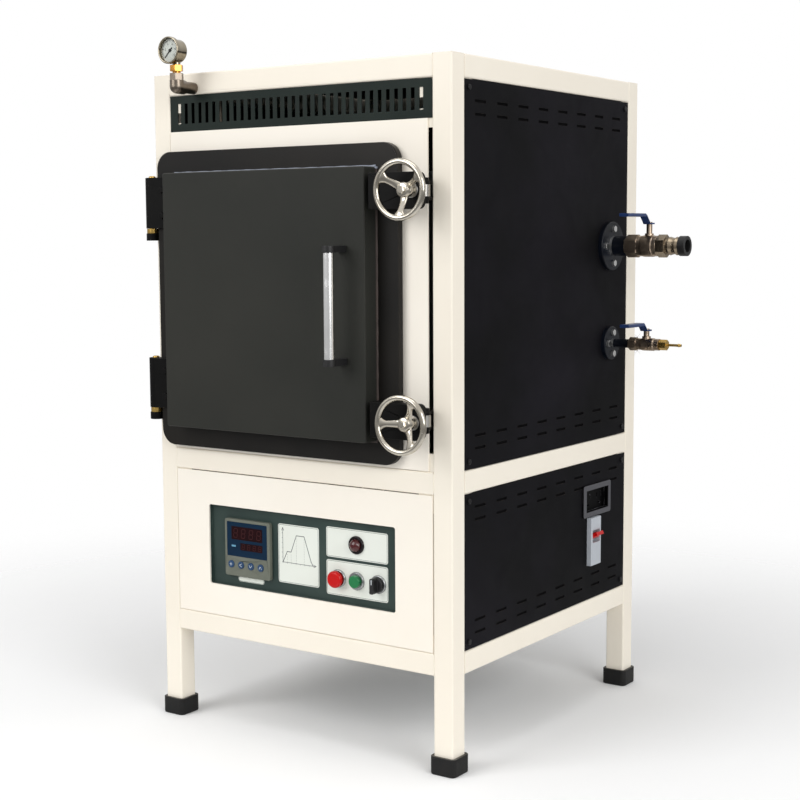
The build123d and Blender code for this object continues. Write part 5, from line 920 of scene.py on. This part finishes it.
# The outlet and the breaker on the right-hand lower panel: a black moulded outlet with a raised grey rim and
# a pale grey two-pole breaker with red linked toggles.
white_plastic = coated_look("white_moulding", tone(182, 187, 194), tone(168, 174, 180), 0.42, grain=2200.0,
                            depth=0.00006, specular=0.3, patch=20.0)
outlet_plastic = coated_look("outlet_moulding", tone(2, 2, 3), tone(8, 8, 9), 0.45, grain=2200.0,
                             specular=0.06, patch=20.0, wear=0.8, wear_colour=tone(150, 150, 154),
                             edge=0.0014)
OUTLET_RIM = (0.2962, 0.31)
zoned(outlet_plastic, "X", *OUTLET_RIM, tone(84, 84, 88))
dress("socket_outlet", outlet_plastic, 0.5)
dress("breaker_body", white_plastic, 0.5)
dress("breaker_toggle", red_plastic, 0.4)

# The two ports on the right: a black bolted flange and pipe, a nickel-plated ball valve with a blue-sleeved
# lever, and outside it the ridged hose union with a black end, or the brass barb.
port_paint = coated_look("port_paint", tone(5, 7, 12), tone(14, 20, 32), 0.36, grain=1400.0, depth=0.0001,
                         specular=0.2, patch=16.0, contrast=0.7, wear=0.4, wear_colour=tone(96, 100, 112))
BARE_STRIP = (0.3017, 0.3062)
zoned(port_paint, "X", *BARE_STRIP, tone(214, 214, 212), 1.0, 0.3)
valve_nickel = coated_look("valve_nickel", tone(186, 168, 148), tone(136, 120, 104), 0.3, grain=700.0,
                           depth=0.00012, metallic=1.0, patch=30.0, contrast=0.8, spread=0.3, smudges=0.1)
lever_blue = coated_look("lever_blue", tone(26, 48, 92), tone(36, 62, 112), 0.36, grain=1600.0,
                         specular=0.4, patch=30.0, contrast=0.6, wear=0.3, wear_colour=tone(110, 126, 160))
dress("port_stubs", port_paint, 0.3)
dress("pump_valve_body", valve_nickel, 0.5)
dress("gas_valve_body", valve_nickel, 0.4)
dress("pump_valve_lever", lever_blue, 0.4)
dress("gas_valve_lever", lever_blue, 0.4)
union_metal = coated_look("union_metal", tone(150, 136, 116), tone(108, 98, 84), 0.26, grain=700.0,
                          depth=0.0001, metallic=1.0, patch=30.0, contrast=0.7, spread=0.3)
BLACK_END = (0.4274, 0.46)
zoned(union_metal, "X", *BLACK_END, tone(14, 14, 14), 0.0, 0.5)
dress("pump_hose_coupling", union_metal, 0.4)
dress("gas_hose_barb", brass, 0.3)

# The vacuum gauge on the front rail: a bright pipe with an elbow and a brass union, a chromed case with a
# white dial that carries ticks and plain numbers, a black pointer and a flat glass.
pipe_metal = coated_look("gauge_pipe_metal", tone(138, 128, 116), tone(96, 86, 78), 0.3, grain=1200.0,
                         depth=0.00006, metallic=1.0, patch=40.0, contrast=0.7)
case_chrome = coated_look("gauge_chrome", tone(158, 150, 134), tone(120, 108, 82), 0.14, grain=1200.0,
                          depth=0.00002, metallic=1.0, patch=40.0, contrast=0.6)
BRASS_NUT = (1.0, 1.0958)
zoned(case_chrome, "Z", *BRASS_NUT, tone(214, 152, 72))
pointer_black = coated_look("pointer_black", tone(16, 16, 16), tone(28, 28, 28), 0.5, grain=2000.0,
                            depth=0.00002, specular=0.3, patch=80.0)
dress("gauge_pipework", pipe_metal, 0.4)
dress("gauge_case", case_chrome, 0.5)
dress("gauge_pointer", pointer_black)

glass = bpy.data.materials.new("gauge_glass")
glass.use_nodes = True
tree = glass.node_tree
shade = tree.nodes["Principled BSDF"]
shade.inputs["Base Color"].default_value = tone(6, 6, 6)
where = add_node(tree, "ShaderNodeTexCoord")
wiped = ranged(tree, noise(tree, where, 90.0, 4.0), 0.0, 1.0, 0.02, 0.12)
tree.links.new(wiped, shade.inputs["Roughness"])
clear = add_node(tree, "ShaderNodeBsdfTransparent")
mirrored = add_node(tree, "ShaderNodeFresnel", {"IOR": 1.45})
facet = add_node(tree, "ShaderNodeNewGeometry")
outer = worked_out(tree, "SUBTRACT", 1.0, facet.outputs["Backfacing"])
mirrored = worked_out(tree, "MULTIPLY", mirrored.outputs[0], outer)
thin = add_node(tree, "ShaderNodeMixShader", {0: mirrored, 1: clear.outputs[0], 2: shade.outputs[0]})
tree.links.new(thin.outputs[0], tree.nodes["Material Output"].inputs["Surface"])
dress("gauge_lens", glass)

dial_white = coated_look("dial_white", tone(214, 218, 212), tone(202, 208, 200), 0.6, grain=1500.0,
                         depth=0.00001, specular=0.2, patch=40.0)
dial_ink = coated_look("dial_ink", tone(26, 26, 28), tone(44, 44, 46), 0.6, grain=1500.0, depth=0.00001,
                       specular=0.2, patch=200.0)
DIAL_X, DIAL_Z, DIAL_Y = -206.0, 1118.0, -358.5
DIAL_RADIUS, TICK_RADIUS, FIGURE_RADIUS = 18.4, 16.6, 10.6
LONG_TICK, MIDDLE_TICK, SHORT_TICK = 13.6, 14.6, 15.4
WIDE_LINE, THIN_LINE, ARC_LINE = 1.0, 0.4, 0.24
DIAL_THICK, DIAL_PRINT_Y, FIGURE_Y = 0.3, DIAL_Y - 0.29, DIAL_Y - 0.31
SCALE_START, SCALE_SWEEP, TICKS, FIGURES = 225, 270, 50, 5


def on_dial(reach, degrees):
    """The place on the dial at a distance from its middle and an angle, as x and z."""
    angle = math.radians(degrees)
    return DIAL_X + reach * math.cos(angle), DIAL_Z + reach * math.sin(angle)


dial = spin_mesh([(0, DIAL_RADIUS), (DIAL_THICK - 0.05, DIAL_RADIUS), (DIAL_THICK, DIAL_RADIUS - 0.1)],
                 (DIAL_X, DIAL_Y, DIAL_Z), (0, -1, 0), 64)
mesh_piece("gauge_dial", *dial, dial_white, "cabinet")
marks = []
for tick in range(TICKS + 1):
    degrees = SCALE_START - SCALE_SWEEP * tick / TICKS
    inner = LONG_TICK if tick % 10 == 0 else (MIDDLE_TICK if tick % 5 == 0 else SHORT_TICK)
    run = [on_dial(inner, degrees), on_dial(TICK_RADIUS, degrees)]
    marks.append(line_mesh(run, WIDE_LINE if tick % 10 == 0 else THIN_LINE, DIAL_PRINT_Y, 0.04))
arc = [on_dial(TICK_RADIUS, degrees) for degrees in range(SCALE_START - SCALE_SWEEP, SCALE_START + 1, 6)]
marks.append(line_mesh(arc, ARC_LINE, DIAL_PRINT_Y, 0.04))
mesh_piece("gauge_ticks", *joined(marks), dial_ink, "cabinet")
for number in range(FIGURES + 1):
    text = bpy.data.curves.new(f"gauge_number_{number}", "FONT")
    text.body = str(number * 2)
    text.size = 0.0052
    text.align_x = "CENTER"
    text.align_y = "CENTER"
    text.extrude = 0.00002
    text.materials.append(dial_ink)
    figure = bpy.data.objects.new(f"gauge_number_{number}", text)
    studio.collection.objects.link(figure)
    x, z = on_dial(FIGURE_RADIUS, SCALE_START - SCALE_SWEEP * number / FIGURES)
    figure.location = (x / 1000, FIGURE_Y / 1000, z / 1000)
    figure.rotation_euler = (math.radians(90), 0, 0)
    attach(figure, "cabinet")
